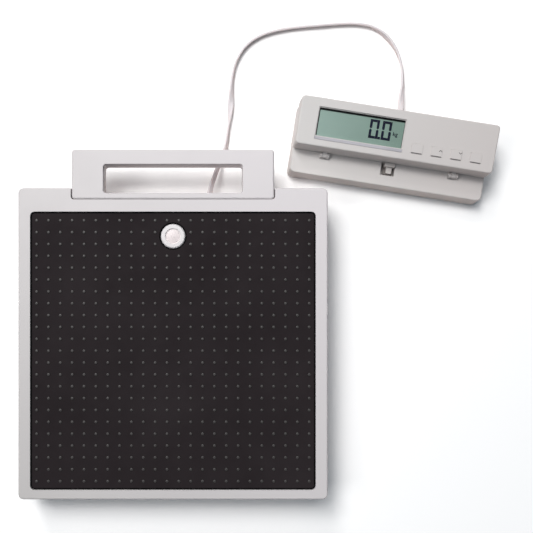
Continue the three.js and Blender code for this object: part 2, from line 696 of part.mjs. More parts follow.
function batteryCell(place) {
  const cell = turned([
    [0, 0],
    [CELL_RADIUS, 0],
    [CELL_RADIUS, CELL_LENGTH],
    [CELL_TIP_RADIUS, CELL_LENGTH],
    [CELL_TIP_RADIUS, CELL_LENGTH + CELL_TIP],
    [0, CELL_LENGTH + CELL_TIP],
  ], SMALL_SIDES).translate(0, 0, -(CELL_LENGTH + CELL_TIP) / 2).rotateX(Math.PI / 2);
  const flip = place % 2 === 0 ? 0 : Math.PI;
  const x = spread(CELL_COUNT, CELL_PITCH)[place];
  return cell.rotateZ(flip).translate(x, BAY_CENTRE_Y, bayTop - FIT - CELL_RADIUS);
}

function batteryLid() {
  const plate = block(lidWidth, lidDepth, LID_THICKNESS, 0, BAY_CENTRE_Y, lidBottom);
  const ridges = [];
  for (let k = 0; k < LID_RIDGES; k += 1) {
    const y = BAY_CENTRE_Y - lidDepth / 2 + (k + 2) * LID_RIDGE_PITCH;
    ridges.push(block(LID_RIDGE_WIDTH, LID_RIDGE_PITCH / 2, LID_RIDGE + LID_THICKNESS / 2, 0, y,
      lidBottom - LID_RIDGE));
  }
  return join(plate, ...ridges);
}

function mainBoard() {
  const bottom = baseTop + STANDOFF_HEIGHT + FIT;
  const board = block(MAIN_BOARD_WIDTH, MAIN_BOARD_DEPTH, BOARD_THICKNESS, MAIN_BOARD_X, MAIN_BOARD_Y,
    bottom);
  const chip = block(CHIP_SIZE, CHIP_SIZE, CHIP_HEIGHT + BOARD_THICKNESS / 2, MAIN_BOARD_X - CHIP_SIZE,
    MAIN_BOARD_Y, bottom + BOARD_THICKNESS / 2);
  const plug = block(PLUG_WIDTH, PLUG_DEPTH, PLUG_HEIGHT + BOARD_THICKNESS / 2,
    MAIN_BOARD_X + MAIN_BOARD_WIDTH / 2 - PLUG_WIDTH, MAIN_BOARD_Y + MAIN_BOARD_DEPTH / 2 - PLUG_DEPTH,
    bottom + BOARD_THICKNESS / 2);
  return join(board, chip, plug);
}

// Levelling feet: a rubber pad, a screw with a finger wheel, and the load cell above
function footPad() {
  return turned([
    [0, 0],
    [PAD_FOOT_RADIUS - PAD_FOOT_EDGE, 0],
    [PAD_FOOT_RADIUS, PAD_FOOT_EDGE],
    [PAD_FOOT_RADIUS, PAD_FOOT_HEIGHT - PAD_FOOT_EDGE],
    [PAD_FOOT_RADIUS - PAD_FOOT_EDGE, PAD_FOOT_HEIGHT],
    [THREAD_RADIUS + 2 * FIT, PAD_FOOT_HEIGHT],
    [THREAD_RADIUS + 2 * FIT, PAD_SOCKET_FLOOR],
    [0, PAD_SOCKET_FLOOR],
  ], PAD_FOOT_SIDES);
}

function footScrew() {
  const wheelBottom = PAD_FOOT_HEIGHT + FIT;
  const outline = [];
  const count = WHEEL_LOBES * ARC_STEPS;
  for (let k = 0; k < count; k += 1) {
    const angle = k / count * 2 * Math.PI;
    const radius = WHEEL_RADIUS + WHEEL_LOBE_DEPTH * Math.cos(WHEEL_LOBES * angle);
    outline.push(new THREE.Vector2(radius * Math.cos(angle), radius * Math.sin(angle)));
  }
  const options = { depth: WHEEL_HEIGHT, bevelEnabled: false };
  const wheel = new THREE.ExtrudeGeometry(new THREE.Shape(outline), options).translate(0, 0, wheelBottom);
  return join(wheel, rod(THREAD_RADIUS, PAD_SOCKET_FLOOR + FIT, THREAD_TOP, SMALL_SIDES));
}

function loadCell() {
  const plate = block(CELL_PLATE_SIZE, CELL_PLATE_SIZE, CELL_PLATE_THICKNESS, 0, 0, CELL_PLATE_BASE);
  const nutTop = CELL_PLATE_BASE + CELL_PLATE_THICKNESS + CELL_NUT_HEIGHT;
  const nut = rod(CELL_NUT_RADIUS, CELL_PLATE_BASE, nutTop, NUT_SIDES);
  const slotHeight = CELL_PLATE_THICKNESS + 2 * OVERRUN;
  const slotBottom = CELL_PLATE_BASE - OVERRUN;
  const reach = CELL_TONGUE + 2 * CELL_SLOT;
  const slots = [
    ...sides.map((side) => block(CELL_SLOT, reach, slotHeight, side * (CELL_TONGUE + CELL_SLOT) / 2, 0,
      slotBottom)),
    block(reach, CELL_SLOT, slotHeight, 0, -(CELL_TONGUE + CELL_SLOT) / 2, slotBottom),
  ];
  const bore = rod(THREAD_RADIUS + 2 * FIT, slotBottom, nutTop + OVERRUN, SMALL_SIDES);
  return cut(join(plate, nut), bore, ...slots);
}

// Strain relief: a flange inside the wall, a neck through it and a tapered nose outside.
// It is built round its own axis along +Y with y = 0 on the wall's outer face.
function gland(wall) {
  const outline = (width, height, y) => ring(width, height, height / 4, 0)
    .map((point) => new THREE.Vector3(point.x, y, -point.y));
  const flangeWidth = GLAND_WIDTH + 2 * GLAND_FLANGE;
  const flangeHeight = GLAND_HEIGHT + 2 * GLAND_FLANGE;
  const flange = loft([
    outline(flangeWidth, flangeHeight, -wall - FIT - GLAND_FLANGE),
    outline(flangeWidth, flangeHeight, -wall - FIT),
  ]);
  const nose = loft([
    outline(GLAND_WIDTH, GLAND_HEIGHT, -wall - FIT - GLAND_FLANGE / 2),
    outline(GLAND_WIDTH, GLAND_HEIGHT, GLAND_FLANGE),
    outline(GLAND_TIP_WIDTH, GLAND_TIP_HEIGHT, GLAND_LENGTH),
  ]);
  return join(flange, nose);
}

// Display stand: a low drafted shell with a ledge in front of the head
const standSolid = (inset, bottom, top, edge) => casing({
  width: DISPLAY_WIDTH - 2 * inset,
  depth: standDepth - 2 * inset,
  corner: STAND_CORNER - inset,
  edge,
  draft: STAND_DRAFT,
  bottom,
  top,
}).translate(0, standY, 0);

function catchPocket(growth) {
  const width = CATCH_POCKET_WIDTH + 2 * growth;
  const depth = CATCH_POCKET_DEPTH + 2 * growth;
  return block(width, depth, CATCH_POCKET_DROP + growth + OVERRUN, 0, catchPocketY,
    catchPocketFloor - growth);
}

function lugPlaces() {
  return sides.map((side) => side * lugSpacing / 2);
}

function alongX(radius, width, x) {
  return new THREE.CylinderGeometry(radius, radius, width, HINGE_SIDES).rotateZ(Math.PI / 2)
    .translate(x, hingeY, hingeZ);
}

function standEars() {
  const offset = KNUCKLE_WIDTH / 2 + FIT + EAR_WIDTH / 2;
  return lugPlaces().flatMap((lug) => sides.flatMap((side) => {
    const x = lug + side * offset;
    const rise = hingeZ - STAND_TOP + OVERRUN;
    const ear = block(EAR_WIDTH, 2 * LUG_RADIUS, rise, x, hingeY, STAND_TOP - OVERRUN);
    return [ear, alongX(LUG_RADIUS, EAR_WIDTH, x)];
  }));
}

function standShell() {
  const outside = standSolid(0, STAND_BASE, STAND_TOP, STAND_EDGE);
  const cavity = cut(standSolid(STAND_WALL, STAND_BASE - OVERRUN, STAND_TOP - STAND_WALL, STAND_EDGE / 2),
    catchPocket(STAND_WALL / 2));
  const hollow = cut(outside, cavity);
  const ribs = [];
  for (const x of spread(STAND_RIBS, standRibPitch)) {
    ribs.push(block(RIB_THICKNESS, standDepth - STAND_WALL, STAND_WALL + RIB_THICKNESS,
      x, standY, STAND_TOP - 2 * STAND_WALL - RIB_THICKNESS / 2));
  }
  const glandHole = block(GLAND_WIDTH + 2 * FIT, STAND_WALL + STAND_DRAFT + 2 * OVERRUN,
    GLAND_HEIGHT + 2 * FIT, STAND_GLAND_X, headHalfDepth - STAND_WALL / 2 + STAND_DRAFT / 2,
    standGlandZ - GLAND_HEIGHT / 2 - FIT);
  const pinBores = lugPlaces().map((x) => alongX(PIN_RADIUS + FIT, KNUCKLE_WIDTH + 4 * EAR_WIDTH, x));
  return cut(join(hollow, ...ribs, ...standEars()), catchPocket(0), glandHole, ...pinBores);
}

function standBasePlate() {
  const inset = STAND_WALL + BASE_GAP;
  return slab(DISPLAY_WIDTH - 2 * inset, standDepth - 2 * inset, STAND_CORNER - inset, STAND_BASE,
    STAND_BASE + STAND_PLATE).translate(0, standY, 0);
}

function standFoot([sx, sy]) {
  const x = sx * (DISPLAY_WIDTH / 2 - STAND_FOOT_INSET);
  const y = standY + sy * (standDepth / 2 - STAND_FOOT_INSET);
  return rod(STAND_FOOT_RADIUS, 0, STAND_BASE, STAND_FOOT_SIDES).translate(x, y, 0);
}

function releaseCatch() {
  const rear = headFrontY - FIT;
  const bottom = catchPocketFloor + FIT;
  const capTop = hingeZ - FIT;
  const stemTop = STAND_TOP;
  const soleDepth = CATCH_CAP_DEPTH + CATCH_STEM_DEPTH;
  const cap = smallSlab(CATCH_CAP_WIDTH, CATCH_CAP_DEPTH, CATCH_CORNER, bottom, capTop)
    .translate(0, rear - CATCH_CAP_DEPTH / 2, 0);
  const stem = smallSlab(CATCH_STEM_WIDTH, soleDepth, CATCH_CORNER, bottom, stemTop)
    .translate(0, rear - soleDepth / 2, 0);
  const sole = smallSlab(CATCH_CAP_WIDTH, soleDepth, CATCH_CORNER, bottom, bottom + CATCH_SOLE)
    .translate(0, rear - soleDepth / 2, 0);
  return join(cap, stem, sole).translate(CATCH_OFFSET, 0, 0);
}

function hingePin(x) {
  const length = KNUCKLE_WIDTH + 2 * (FIT + EAR_WIDTH + PIN_OVERHANG);
  return alongX(PIN_RADIUS, length, x);
}

// Display head: two covers that meet in a level joint, the upper one sloping to the front
function onPanel(geometry) {
  return geometry.rotateX(panelAngle).translate(0, 0, panelZ);
}

function headBossPlaces() {
  return corners.map(([sx, sy]) =>
    [sx * (DISPLAY_WIDTH / 2 - HEAD_BOSS_INSET), sy * (headHalfDepth - HEAD_BOSS_INSET)]);
}

function keyPlaces() {
  return spread(KEY_COUNT, KEY_PITCH).map((x) => keyMiddleX + x);
}

function headUpper(inset, bottom, drop, edge) {
  return casing({
    width: DISPLAY_WIDTH - 2 * inset,
    depth: HEAD_DEPTH - 2 * inset,
    corner: HEAD_CORNER - inset,
    edge,
    draft: HEAD_DRAFT,
    bottom,
    top: panelZ - drop,
    lift: panelLift,
  });
}

function headFrontCover() {
  const bottom = HEAD_SPLIT + FIT;
  const outside = headUpper(0, bottom, 0, HEAD_EDGE);
  const inside = headUpper(HEAD_WALL, bottom - OVERRUN, PANEL_THICKNESS, HEAD_EDGE / 4);
  const panelUnderside = (y) => panelZ - PANEL_THICKNESS + panelLift * y / headHalfDepth;
  const bosses = headBossPlaces().map(([x, y]) =>
    rod(HEAD_BOSS_RADIUS, bottom, panelUnderside(y) + OVERRUN, SMALL_SIDES).translate(x, y, 0));
  const built = join(cut(outside, inside), ...bosses);
  const pocket = onPanel(smallSlab(windowWidth, WINDOW_DEPTH, WINDOW_CORNER, -WINDOW_SINK, 2 * OVERRUN)
    .translate(windowX, WINDOW_Y, 0));
  const sight = onPanel(smallSlab(windowWidth - 2 * WINDOW_LEDGE, WINDOW_DEPTH - 2 * WINDOW_LEDGE,
    WINDOW_CORNER, -PANEL_THICKNESS - OVERRUN, OVERRUN).translate(windowX, WINDOW_Y, 0));
  const keyHoles = keyPlaces().map((x) => onPanel(smallSlab(KEY_WIDTH + 2 * FIT, KEY_DEPTH + 2 * FIT,
    KEY_CORNER + FIT, -PANEL_THICKNESS - OVERRUN, OVERRUN).translate(x, KEY_Y, 0)));
  const stripSeat = onPanel(smallSlab(windowWidth + 2 * FIT, STRIP_DEPTH + 2 * FIT, FIT,
    -STRIP_THICKNESS - FIT, OVERRUN).translate(windowX, stripY, 0));
  const screwHoles = headBossPlaces().map(([x, y]) =>
    rod(SCREW_RADIUS + FIT, bottom - OVERRUN, headBottom + COUNTERBORE_DEPTH + HEAD_SCREW_LENGTH,
      SMALL_SIDES).translate(x, y, 0));
  return cut(built, pocket, sight, ...keyHoles, stripSeat, ...screwHoles);
}

function headRearCover() {
  const lower = (inset, bottom, top) => slab(DISPLAY_WIDTH + 2 * HEAD_DRAFT - 2 * inset,
    HEAD_DEPTH + 2 * HEAD_DRAFT - 2 * inset, HEAD_CORNER - inset, bottom, top);
  const tray = cut(lower(0, headBottom, HEAD_SPLIT),
    lower(HEAD_WALL, headBottom + HEAD_WALL, HEAD_SPLIT + OVERRUN));
  const posts = headBossPlaces().map(([x, y]) =>
    rod(SCREW_HEAD_RADIUS + FIT + HEAD_WALL / 2, headBottom, HEAD_SPLIT, SMALL_SIDES).translate(x, y, 0));
  const webReach = LUG_RADIUS + FIT + HEAD_WALL / 2;
  const knuckles = lugPlaces().flatMap((x) => [
    alongX(LUG_RADIUS, KNUCKLE_WIDTH, x),
    block(KNUCKLE_WIDTH, webReach, 2 * LUG_RADIUS - 2 * FIT, x, hingeY + webReach / 2,
      hingeZ - LUG_RADIUS + FIT),
  ]);
  const holes = headBossPlaces().flatMap(([x, y]) => [
    rod(SCREW_RADIUS + FIT, headBottom - OVERRUN, HEAD_SPLIT + OVERRUN, SMALL_SIDES).translate(x, y, 0),
    rod(SCREW_HEAD_RADIUS + FIT, headBottom - OVERRUN, headBottom + COUNTERBORE_DEPTH, SMALL_SIDES)
      .translate(x, y, 0),
  ]);
  const pinBores = lugPlaces().map((x) => alongX(PIN_RADIUS + FIT, KNUCKLE_WIDTH + 2 * OVERRUN, x));
  return cut(join(tray, ...posts, ...knuckles), ...holes, ...pinBores);
}

function headScrew([x, y]) {
  const bottom = headBottom + COUNTERBORE_DEPTH - SCREW_HEAD_HEIGHT - FIT;
  return screw(HEAD_SCREW_LENGTH).translate(x, y, bottom);
}

function windowPane() {
  const top = -WINDOW_SINK + WINDOW_THICKNESS + FIT;
  return onPanel(smallSlab(windowWidth - 2 * FIT, WINDOW_DEPTH - 2 * FIT, WINDOW_CORNER - FIT,
    top - WINDOW_THICKNESS, top).translate(windowX, WINDOW_Y, 0));
}

function lcdModule() {
  const width = windowWidth + 2 * LCD_MARGIN;
  const depth = WINDOW_DEPTH + 2 * LCD_MARGIN;
  return onPanel(block(width, depth, LCD_THICKNESS, windowX, WINDOW_Y, lcdTop - LCD_THICKNESS));
}

function labelStrip() {
  return onPanel(block(windowWidth, STRIP_DEPTH, STRIP_THICKNESS, windowX, stripY, -STRIP_THICKNESS));
}

function keyCap(x) {
  const cap = smallSlab(KEY_WIDTH, KEY_DEPTH, KEY_CORNER, flangeTop - FIT, KEY_RISE);
  const flange = smallSlab(KEY_WIDTH + 2 * KEY_FLANGE, KEY_DEPTH + 2 * KEY_FLANGE, KEY_CORNER,
    flangeTop - KEY_FLANGE_THICKNESS, flangeTop);
  return onPanel(join(cap, flange).translate(x, KEY_Y, 0));
}

function keyMat() {
  const width = (KEY_COUNT - 1) * KEY_PITCH + KEY_WIDTH + 2 * KEY_MAT_MARGIN;
  return onPanel(block(width, KEY_DEPTH + 2 * KEY_MAT_MARGIN, KEY_MAT_THICKNESS, keyMiddleX, KEY_Y,
    displayBoardTop + FIT));
}

function displayBoard() {
  const width = DISPLAY_WIDTH - 2 * DISPLAY_BOARD_INSET_X;
  const depth = HEAD_DEPTH - 2 * DISPLAY_BOARD_INSET_Y;
  return onPanel(block(width, depth, BOARD_THICKNESS, 0, 0, displayBoardTop - BOARD_THICKNESS));
}

// The flat cord, lying on the floor between the two strain reliefs
function displayCord() {
  const path = new THREE.CatmullRomCurve3(CORD_ROUTE.map((point) => new THREE.Vector3(...point)));
  const outline = [];
  for (let k = 0; k < CORD_SIDES; k += 1) {
    const angle = (k + 1 / 2) / CORD_SIDES * 2 * Math.PI;
    outline.push(new THREE.Vector2(CORD_WIDTH / 2 * Math.cos(angle), CORD_THICKNESS / 2 * Math.sin(angle)));
  }
  const options = { steps: CORD_STEPS, extrudePath: path, bevelEnabled: false };
  return new THREE.ExtrudeGeometry(new THREE.Shape(outline), options);
}

const platform = new THREE.Group();
platform.add(
  named('platform_shell', platformShell(), shellPlastic),
  named('tread_mat', treadMat(), matRubber),
  named('carry_handle', carryHandle(), handlePlastic),
  named('base_plate', basePlate(), basePlastic),
  named('battery_lid', batteryLid(), basePlastic),
  named('main_board', mainBoard(), circuitGreen),
  named('level_bezel', levelBezel(), whitePlastic),
  named('level_vial', levelVial(), vialPlastic),
  named('level_lens', levelLens(), lensPlastic),
);
for (let k = 0; k < CELL_COUNT; k += 1) {
  platform.add(named(`battery_cell_${k + 1}`, batteryCell(k), cellJacket));
}
footPlaces().forEach(([x, y], k) => {
  const foot = new THREE.Group();
  foot.add(
    named(`foot_pad_${k + 1}`, footPad(), footRubber),
    named(`foot_screw_${k + 1}`, footScrew(), steel),
    named(`load_cell_${k + 1}`, loadCell(), steel),
  );
  foot.position.set(x, y, 0);
  platform.add(foot);
});
basePlaces().forEach((place, k) => {
  platform.add(named(`base_screw_${k + 1}`, baseScrew(place), steel));
});
const platformGland = named('platform_gland', gland(PLATFORM_WALL), cordPlastic);
platformGland.position.set(PLATFORM_GLAND_X, notchY, platformGlandZ);
platform.add(platformGland);

const display = new THREE.Group();
display.add(
  named('stand_shell', standShell(), standPlastic),
  named('stand_base_plate', standBasePlate(), basePlastic),
  named('release_catch', releaseCatch(), whitePlastic),
  named('head_front_cover', headFrontCover(), displayPlastic),
  named('head_rear_cover', headRearCover(), displayPlastic),
  named('window_pane', windowPane(), windowClear),
  named('lcd_module', lcdModule(), lcdGreen),
  named('label_strip', labelStrip(), stripWhite),
  named('key_mat', keyMat(), siliconeGrey),
  named('display_board', displayBoard(), circuitGreen),
);
keyPlaces().forEach((x, k) => display.add(named(`key_${k + 1}`, keyCap(x), displayPlastic)));
corners.forEach((corner, k) => display.add(named(`stand_foot_${k + 1}`, standFoot(corner), footRubber)));
lugPlaces().forEach((x, k) => display.add(named(`hinge_pin_${k + 1}`, hingePin(x), steel)));
headBossPlaces().forEach((place, k) => display.add(named(`head_screw_${k + 1}`, headScrew(place), steel)));
const standGland = named('stand_gland', gland(STAND_WALL + STAND_DRAFT), cordPlastic);
standGland.position.set(STAND_GLAND_X, headHalfDepth + STAND_DRAFT, standGlandZ);
display.add(standGland);
display.position.set(DISPLAY_X, DISPLAY_Y, 0);
display.rotation.z = THREE.MathUtils.degToRad(DISPLAY_TURN_DEG);

const scale = new THREE.Group();
scale.add(platform, display);
const outline = new THREE.Box3().setFromObject(scale);
const centre = outline.getCenter(new THREE.Vector3());
scale.add(named('display_cord', displayCord(), cordPlastic));
scale.position.set(-centre.x, -centre.y, -outline.min.z);
scale.updateMatrixWorld(true);

export default scale;
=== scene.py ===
import math

import bmesh
import bpy
from mathutils import Matrix, Vector


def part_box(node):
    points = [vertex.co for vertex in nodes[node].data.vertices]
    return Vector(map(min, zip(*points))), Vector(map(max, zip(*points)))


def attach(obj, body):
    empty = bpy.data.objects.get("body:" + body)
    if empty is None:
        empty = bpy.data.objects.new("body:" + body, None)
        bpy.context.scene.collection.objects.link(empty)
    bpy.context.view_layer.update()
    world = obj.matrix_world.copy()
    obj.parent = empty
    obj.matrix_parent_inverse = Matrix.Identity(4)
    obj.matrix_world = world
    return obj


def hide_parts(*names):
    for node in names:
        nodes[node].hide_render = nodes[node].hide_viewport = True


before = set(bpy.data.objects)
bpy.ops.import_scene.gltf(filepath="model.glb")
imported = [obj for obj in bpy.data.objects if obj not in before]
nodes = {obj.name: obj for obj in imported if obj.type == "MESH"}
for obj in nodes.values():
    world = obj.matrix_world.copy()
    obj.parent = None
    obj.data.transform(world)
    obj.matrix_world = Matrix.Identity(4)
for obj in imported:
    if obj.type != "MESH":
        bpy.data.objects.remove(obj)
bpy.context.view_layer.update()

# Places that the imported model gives
platform_low, platform_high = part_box("platform_shell")
mat_low, mat_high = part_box("tread_mat")
PLATFORM = Vector(((platform_low.x + platform_high.x) / 2, (platform_low.y + platform_high.y) / 2, 0))
LEVEL = sum(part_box("level_lens"), Vector()) / 2
pin_right = sum(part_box("hinge_pin_1"), Vector()) / 2
pin_left = sum(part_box("hinge_pin_2"), Vector()) / 2
ALONG = (pin_right - pin_left).normalized()
BEHIND = Vector((-ALONG.y, ALONG.x, 0))

# Sizes in metres
HINGE_TO_CENTRE = 0.0292
HEAD_DEPTH = 0.0504
HEAD_FRONT_TOP = 0.048
HEAD_REAR_TOP = 0.052
DISPLAY = (pin_right + pin_left) / 2 + BEHIND * HINGE_TO_CENTRE
DISPLAY.z = 0
PANEL_ANGLE = math.atan2(HEAD_REAR_TOP - HEAD_FRONT_TOP, HEAD_DEPTH)
PANEL = (Matrix.Translation(DISPLAY + Vector((0, 0, (HEAD_FRONT_TOP + HEAD_REAR_TOP) / 2)))
         @ Matrix.Rotation(math.atan2(ALONG.y, ALONG.x), 4, "Z")
         @ Matrix.Rotation(PANEL_ANGLE, 4, "X"))

# Camera: the photo is taken from straight above, off centre
PHOTO_SIZE = 533
CAMERA_HEIGHT = 0.86
CAMERA_PLACE = (0.0492, 0.0327)
FOCAL_PIXELS = 772.6
NADIR_PIXEL = (220.45, 312.2)
SENSOR_WIDTH = 36
CLIP_START = 0.01
CLIP_END = 20


def make_camera():
    camera = bpy.data.objects.new("camera", bpy.data.cameras.new("camera"))
    bpy.context.scene.collection.objects.link(camera)
    camera.location = PLATFORM + Vector((*CAMERA_PLACE, CAMERA_HEIGHT))
    camera.data.sensor_width = SENSOR_WIDTH
    camera.data.lens = FOCAL_PIXELS / PHOTO_SIZE * SENSOR_WIDTH
    camera.data.shift_x = (PHOTO_SIZE / 2 - NADIR_PIXEL[0]) / PHOTO_SIZE
    camera.data.shift_y = (NADIR_PIXEL[1] - PHOTO_SIZE / 2) / PHOTO_SIZE
    camera.data.clip_start = CLIP_START
    camera.data.clip_end = CLIP_END
    bpy.context.scene.camera = camera


# Material helpers
WHITE = (1, 1, 1, 1)
# Values of a noise at which a mottled surface shows its first and its second tone
TONE_STOPS = (0.3, 0.7)


def linear(colour):
    """Scene colour of an 8-bit screen colour, by the sRGB curve."""
    def channel(value):
        share = value / 255
        return share / 12.92 if share <= 0.04045 else ((share + 0.055) / 1.055) ** 2.4
    return (*[channel(value) for value in colour], 1)


class Finish:
    """A material with its node tree at hand."""

    def __init__(self, name, roughness=0.5, metallic=0.0, specular=0.5):
        self.material = bpy.data.materials.new(name)
        self.material.use_nodes = True
        self.tree = self.material.node_tree
        self.shader = self.tree.nodes["Principled BSDF"]
        self.shader.inputs["Roughness"].default_value = roughness
        self.shader.inputs["Metallic"].default_value = metallic
        self.shader.inputs["Specular IOR Level"].default_value = specular

    def node(self, kind, **settings):
        made = self.tree.nodes.new(kind)
        for key, value in settings.items():
            setattr(made, key, value)
        return made

    def link(self, output, target):
        self.tree.links.new(output, target)

    def place(self):
        return self.node("ShaderNodeTexCoord").outputs["Object"]

    def noise(self, scale, detail, stretch=None):
        noise = self.node("ShaderNodeTexNoise")
        noise.inputs["Scale"].default_value = scale
        noise.inputs["Detail"].default_value = detail
        source = self.place()
        if stretch:
            mapping = self.node("ShaderNodeMapping")
            mapping.inputs["Scale"].default_value = stretch
            self.link(source, mapping.inputs["Vector"])
            source = mapping.outputs["Vector"]
        self.link(source, noise.inputs["Vector"])
        return noise.outputs["Fac"]

    def ramp(self, source, stops):
        """Colours by two stops, each a position and a colour."""
        ramp = self.node("ShaderNodeValToRGB")
        for element, (position, colour) in zip(ramp.color_ramp.elements, stops):
            element.position = position
            element.color = colour
        self.link(source, ramp.inputs["Fac"])
        return ramp.outputs["Color"]

    def mottle(self, low, high, scale, detail):
        colour = self.ramp(self.noise(scale, detail), zip(TONE_STOPS, (linear(low), linear(high))))
        self.link(colour, self.shader.inputs["Base Color"])
        return colour

    def bump(self, source, strength, distance, before=None):
        bump = self.node("ShaderNodeBump")
        bump.inputs["Strength"].default_value = strength
        bump.inputs["Distance"].default_value = distance
        self.link(source, bump.inputs["Height"])
        if before:
            self.link(before, bump.inputs["Normal"])
        self.link(bump.outputs["Normal"], self.shader.inputs["Normal"])
        return bump.outputs["Normal"]

    def vary_roughness(self, source, low, high):
        span = self.node("ShaderNodeMapRange")
        span.inputs["To Min"].default_value = low
        span.inputs["To Max"].default_value = high
        self.link(source, span.inputs["Value"])
        self.link(span.outputs["Result"], self.shader.inputs["Roughness"])


GLOSS_SWING = 0.06


def moulded_plastic(name, colour, roughness, grain=0.00012, spread=3, painted_light_ramp=None, specular=0.5):
    """Satin moulded plastic: spark-eroded grain and uneven gloss, with painted light or shade where
    asked.

    The painted light ramp is a direction, the places along it where it starts and ends, and the end
    colour."""
    finish = Finish(name, roughness, specular=specular)
    low = [value - spread for value in colour]
    high = [value + spread for value in colour]
    cloud = finish.mottle(low, high, scale=9, detail=4)
    # Painted light or shade: the colour ramps towards the end colour along the given direction
    if painted_light_ramp:
        direction, start, end, far_colour = painted_light_ramp
        along = finish.node("ShaderNodeVectorMath", operation="DOT_PRODUCT")
        finish.link(finish.place(), along.inputs[0])
        along.inputs[1].default_value = direction
        span = finish.node("ShaderNodeMapRange")
        span.inputs["From Min"].default_value = start
        span.inputs["From Max"].default_value = end
        finish.link(along.outputs["Value"], span.inputs["Value"])
        mix = finish.node("ShaderNodeMixRGB", blend_type="MIX")
        finish.link(span.outputs["Result"], mix.inputs["Fac"])
        finish.link(cloud, mix.inputs["Color1"])
        mix.inputs["Color2"].default_value = linear(far_colour)
        finish.link(mix.outputs["Color"], finish.shader.inputs["Base Color"])
    finish.vary_roughness(finish.noise(scale=60, detail=3), low=roughness - GLOSS_SWING,
                          high=roughness + GLOSS_SWING)
    grain_normal = finish.bump(finish.noise(scale=1500, detail=2), strength=0.35, distance=grain)
    finish.bump(finish.noise(scale=25, detail=1), strength=0.08, distance=0.0004, before=grain_normal)
    return finish.material


def tread_rubber():
    finish = Finish("tread_rubber", roughness=0.8, specular=0.1)
    finish.mottle((31, 26, 28), (39, 34, 36), scale=14, detail=5)
    finish.vary_roughness(finish.noise(scale=90, detail=4), low=0.72, high=0.88)
    grain = finish.bump(finish.noise(scale=2200, detail=3), strength=0.5, distance=0.00015)
    finish.bump(finish.noise(scale=40, detail=2), strength=0.15, distance=0.0005, before=grain)
    return finish.material


def stud_rubber():
    """The worn, smoother tops of the studs."""
    finish = Finish("stud_rubber", roughness=0.45, specular=0.4)
    finish.mottle((20, 17, 18), (26, 22, 23), scale=30, detail=3)
    finish.vary_roughness(finish.noise(scale=160, detail=3), low=0.41, high=0.5)
    return finish.material


# Painted shade: a near-black matte put in gaps and at the window's edges where only shade falls
def shade_black():
    finish = Finish("shade_black", roughness=0.9, specular=0.1)
    finish.mottle((4, 4, 5), (12, 11, 12), scale=300, detail=3)
    finish.bump(finish.noise(scale=1800, detail=2), strength=0.3, distance=0.0001)
    return finish.material


def foot_rubber():
    finish = Finish("foot_rubber", roughness=0.75, specular=0.3)
    finish.mottle((30, 29, 30), (44, 42, 42), scale=60, detail=4)
    finish.bump(finish.noise(scale=900, detail=3), strength=0.5, distance=0.0002)
    return finish.material


def plated_steel():
    finish = Finish("plated_steel", roughness=0.35, metallic=1.0)
    finish.mottle((168, 170, 172), (196, 198, 200), scale=120, detail=3)
    finish.vary_roughness(finish.noise(scale=300, detail=3), low=0.25, high=0.45)
    finish.bump(finish.noise(scale=800, detail=2, stretch=(1, 1, 6)), strength=0.2, distance=0.0001)
    return finish.material


def circuit_board():
    finish = Finish("circuit_board", roughness=0.45)
    finish.mottle((30, 92, 58), (46, 118, 74), scale=250, detail=2)
    finish.bump(finish.noise(scale=400, detail=2), strength=0.2, distance=0.0001)
    return finish.material


def cell_jacket():
    finish = Finish("cell_jacket", roughness=0.32, metallic=0.4)
    finish.mottle((72, 78, 84), (98, 104, 110), scale=80, detail=2)
    return finish.material


# Painted light: the liquid crystal's paler tone at its left end, where the light falls, and its tone at
# the right end
LCD_LEFT_PAINTED_LIGHT_TONE = (150, 174, 165)
LCD_RIGHT_TONE = (122, 146, 135)
LCD_CLOUD = (0.94, 0.94, 0.94, 1)


def lcd_face():
    """The grey-green liquid crystal layer, with painted light that makes it paler towards its left end.
    """
    finish = Finish("lcd_face", roughness=0.4, specular=0.2)
    gradient = finish.node("ShaderNodeTexGradient")
    finish.link(finish.node("ShaderNodeTexCoord").outputs["Generated"], gradient.inputs["Vector"])
    colour = finish.ramp(gradient.outputs["Fac"],
                         [(0.0, linear(LCD_LEFT_PAINTED_LIGHT_TONE)), (1.0, linear(LCD_RIGHT_TONE))])
    cloud = finish.ramp(finish.noise(scale=40, detail=2), zip(TONE_STOPS, (LCD_CLOUD, WHITE)))
    mix = finish.node("ShaderNodeMixRGB", blend_type="MULTIPLY")
    mix.inputs["Fac"].default_value = 1.0
    finish.link(colour, mix.inputs["Color1"])
    finish.link(cloud, mix.inputs["Color2"])
    finish.link(mix.outputs["Color"], finish.shader.inputs["Base Color"])
    return finish.material


def lcd_ink():
    finish = Finish("lcd_ink", roughness=0.6, specular=0.1)
    finish.mottle((8, 12, 30), (16, 20, 40), scale=300, detail=1)
    return finish.material


def print_ink(name, low, high):
    finish = Finish(name, roughness=0.6)
    finish.mottle(low, high, scale=400, detail=2)
    return finish.material


PANE_BODY = (0.06, 0.07, 0.07, 1)
PANE_ALPHA = 0.03


def clear_window():
    """Glass without transmission, so that the white background doesn't light what lies below it."""
    finish = Finish("clear_window", roughness=0.04, specular=0.15)
    finish.shader.inputs["Base Color"].default_value = PANE_BODY
    finish.shader.inputs["Alpha"].default_value = PANE_ALPHA
    finish.vary_roughness(finish.noise(scale=200, detail=2), low=0.02, high=0.07)
    return finish.material


def label_film():
    finish = Finish("label_film", roughness=0.45, specular=0.3)
    finish.mottle((170, 168, 174), (182, 180, 186), scale=60, detail=2)
    return finish.material


def level_plastic():
    finish = Finish("level_plastic", roughness=0.4, specular=0.4)
    finish.mottle((224, 213, 213), (232, 222, 222), scale=150, detail=2)
    return finish.material


def seal_plastic():
    finish = Finish("seal_plastic", roughness=0.5)
    finish.mottle((214, 206, 206), (224, 216, 216), scale=200, detail=2)
    return finish.material


SHEATH_GLOW = 0.7
SHEATH_GLOW_COLOUR = (1.0, 0.93, 0.9)
SHEATH_GLOW_DEPTH = 0.003


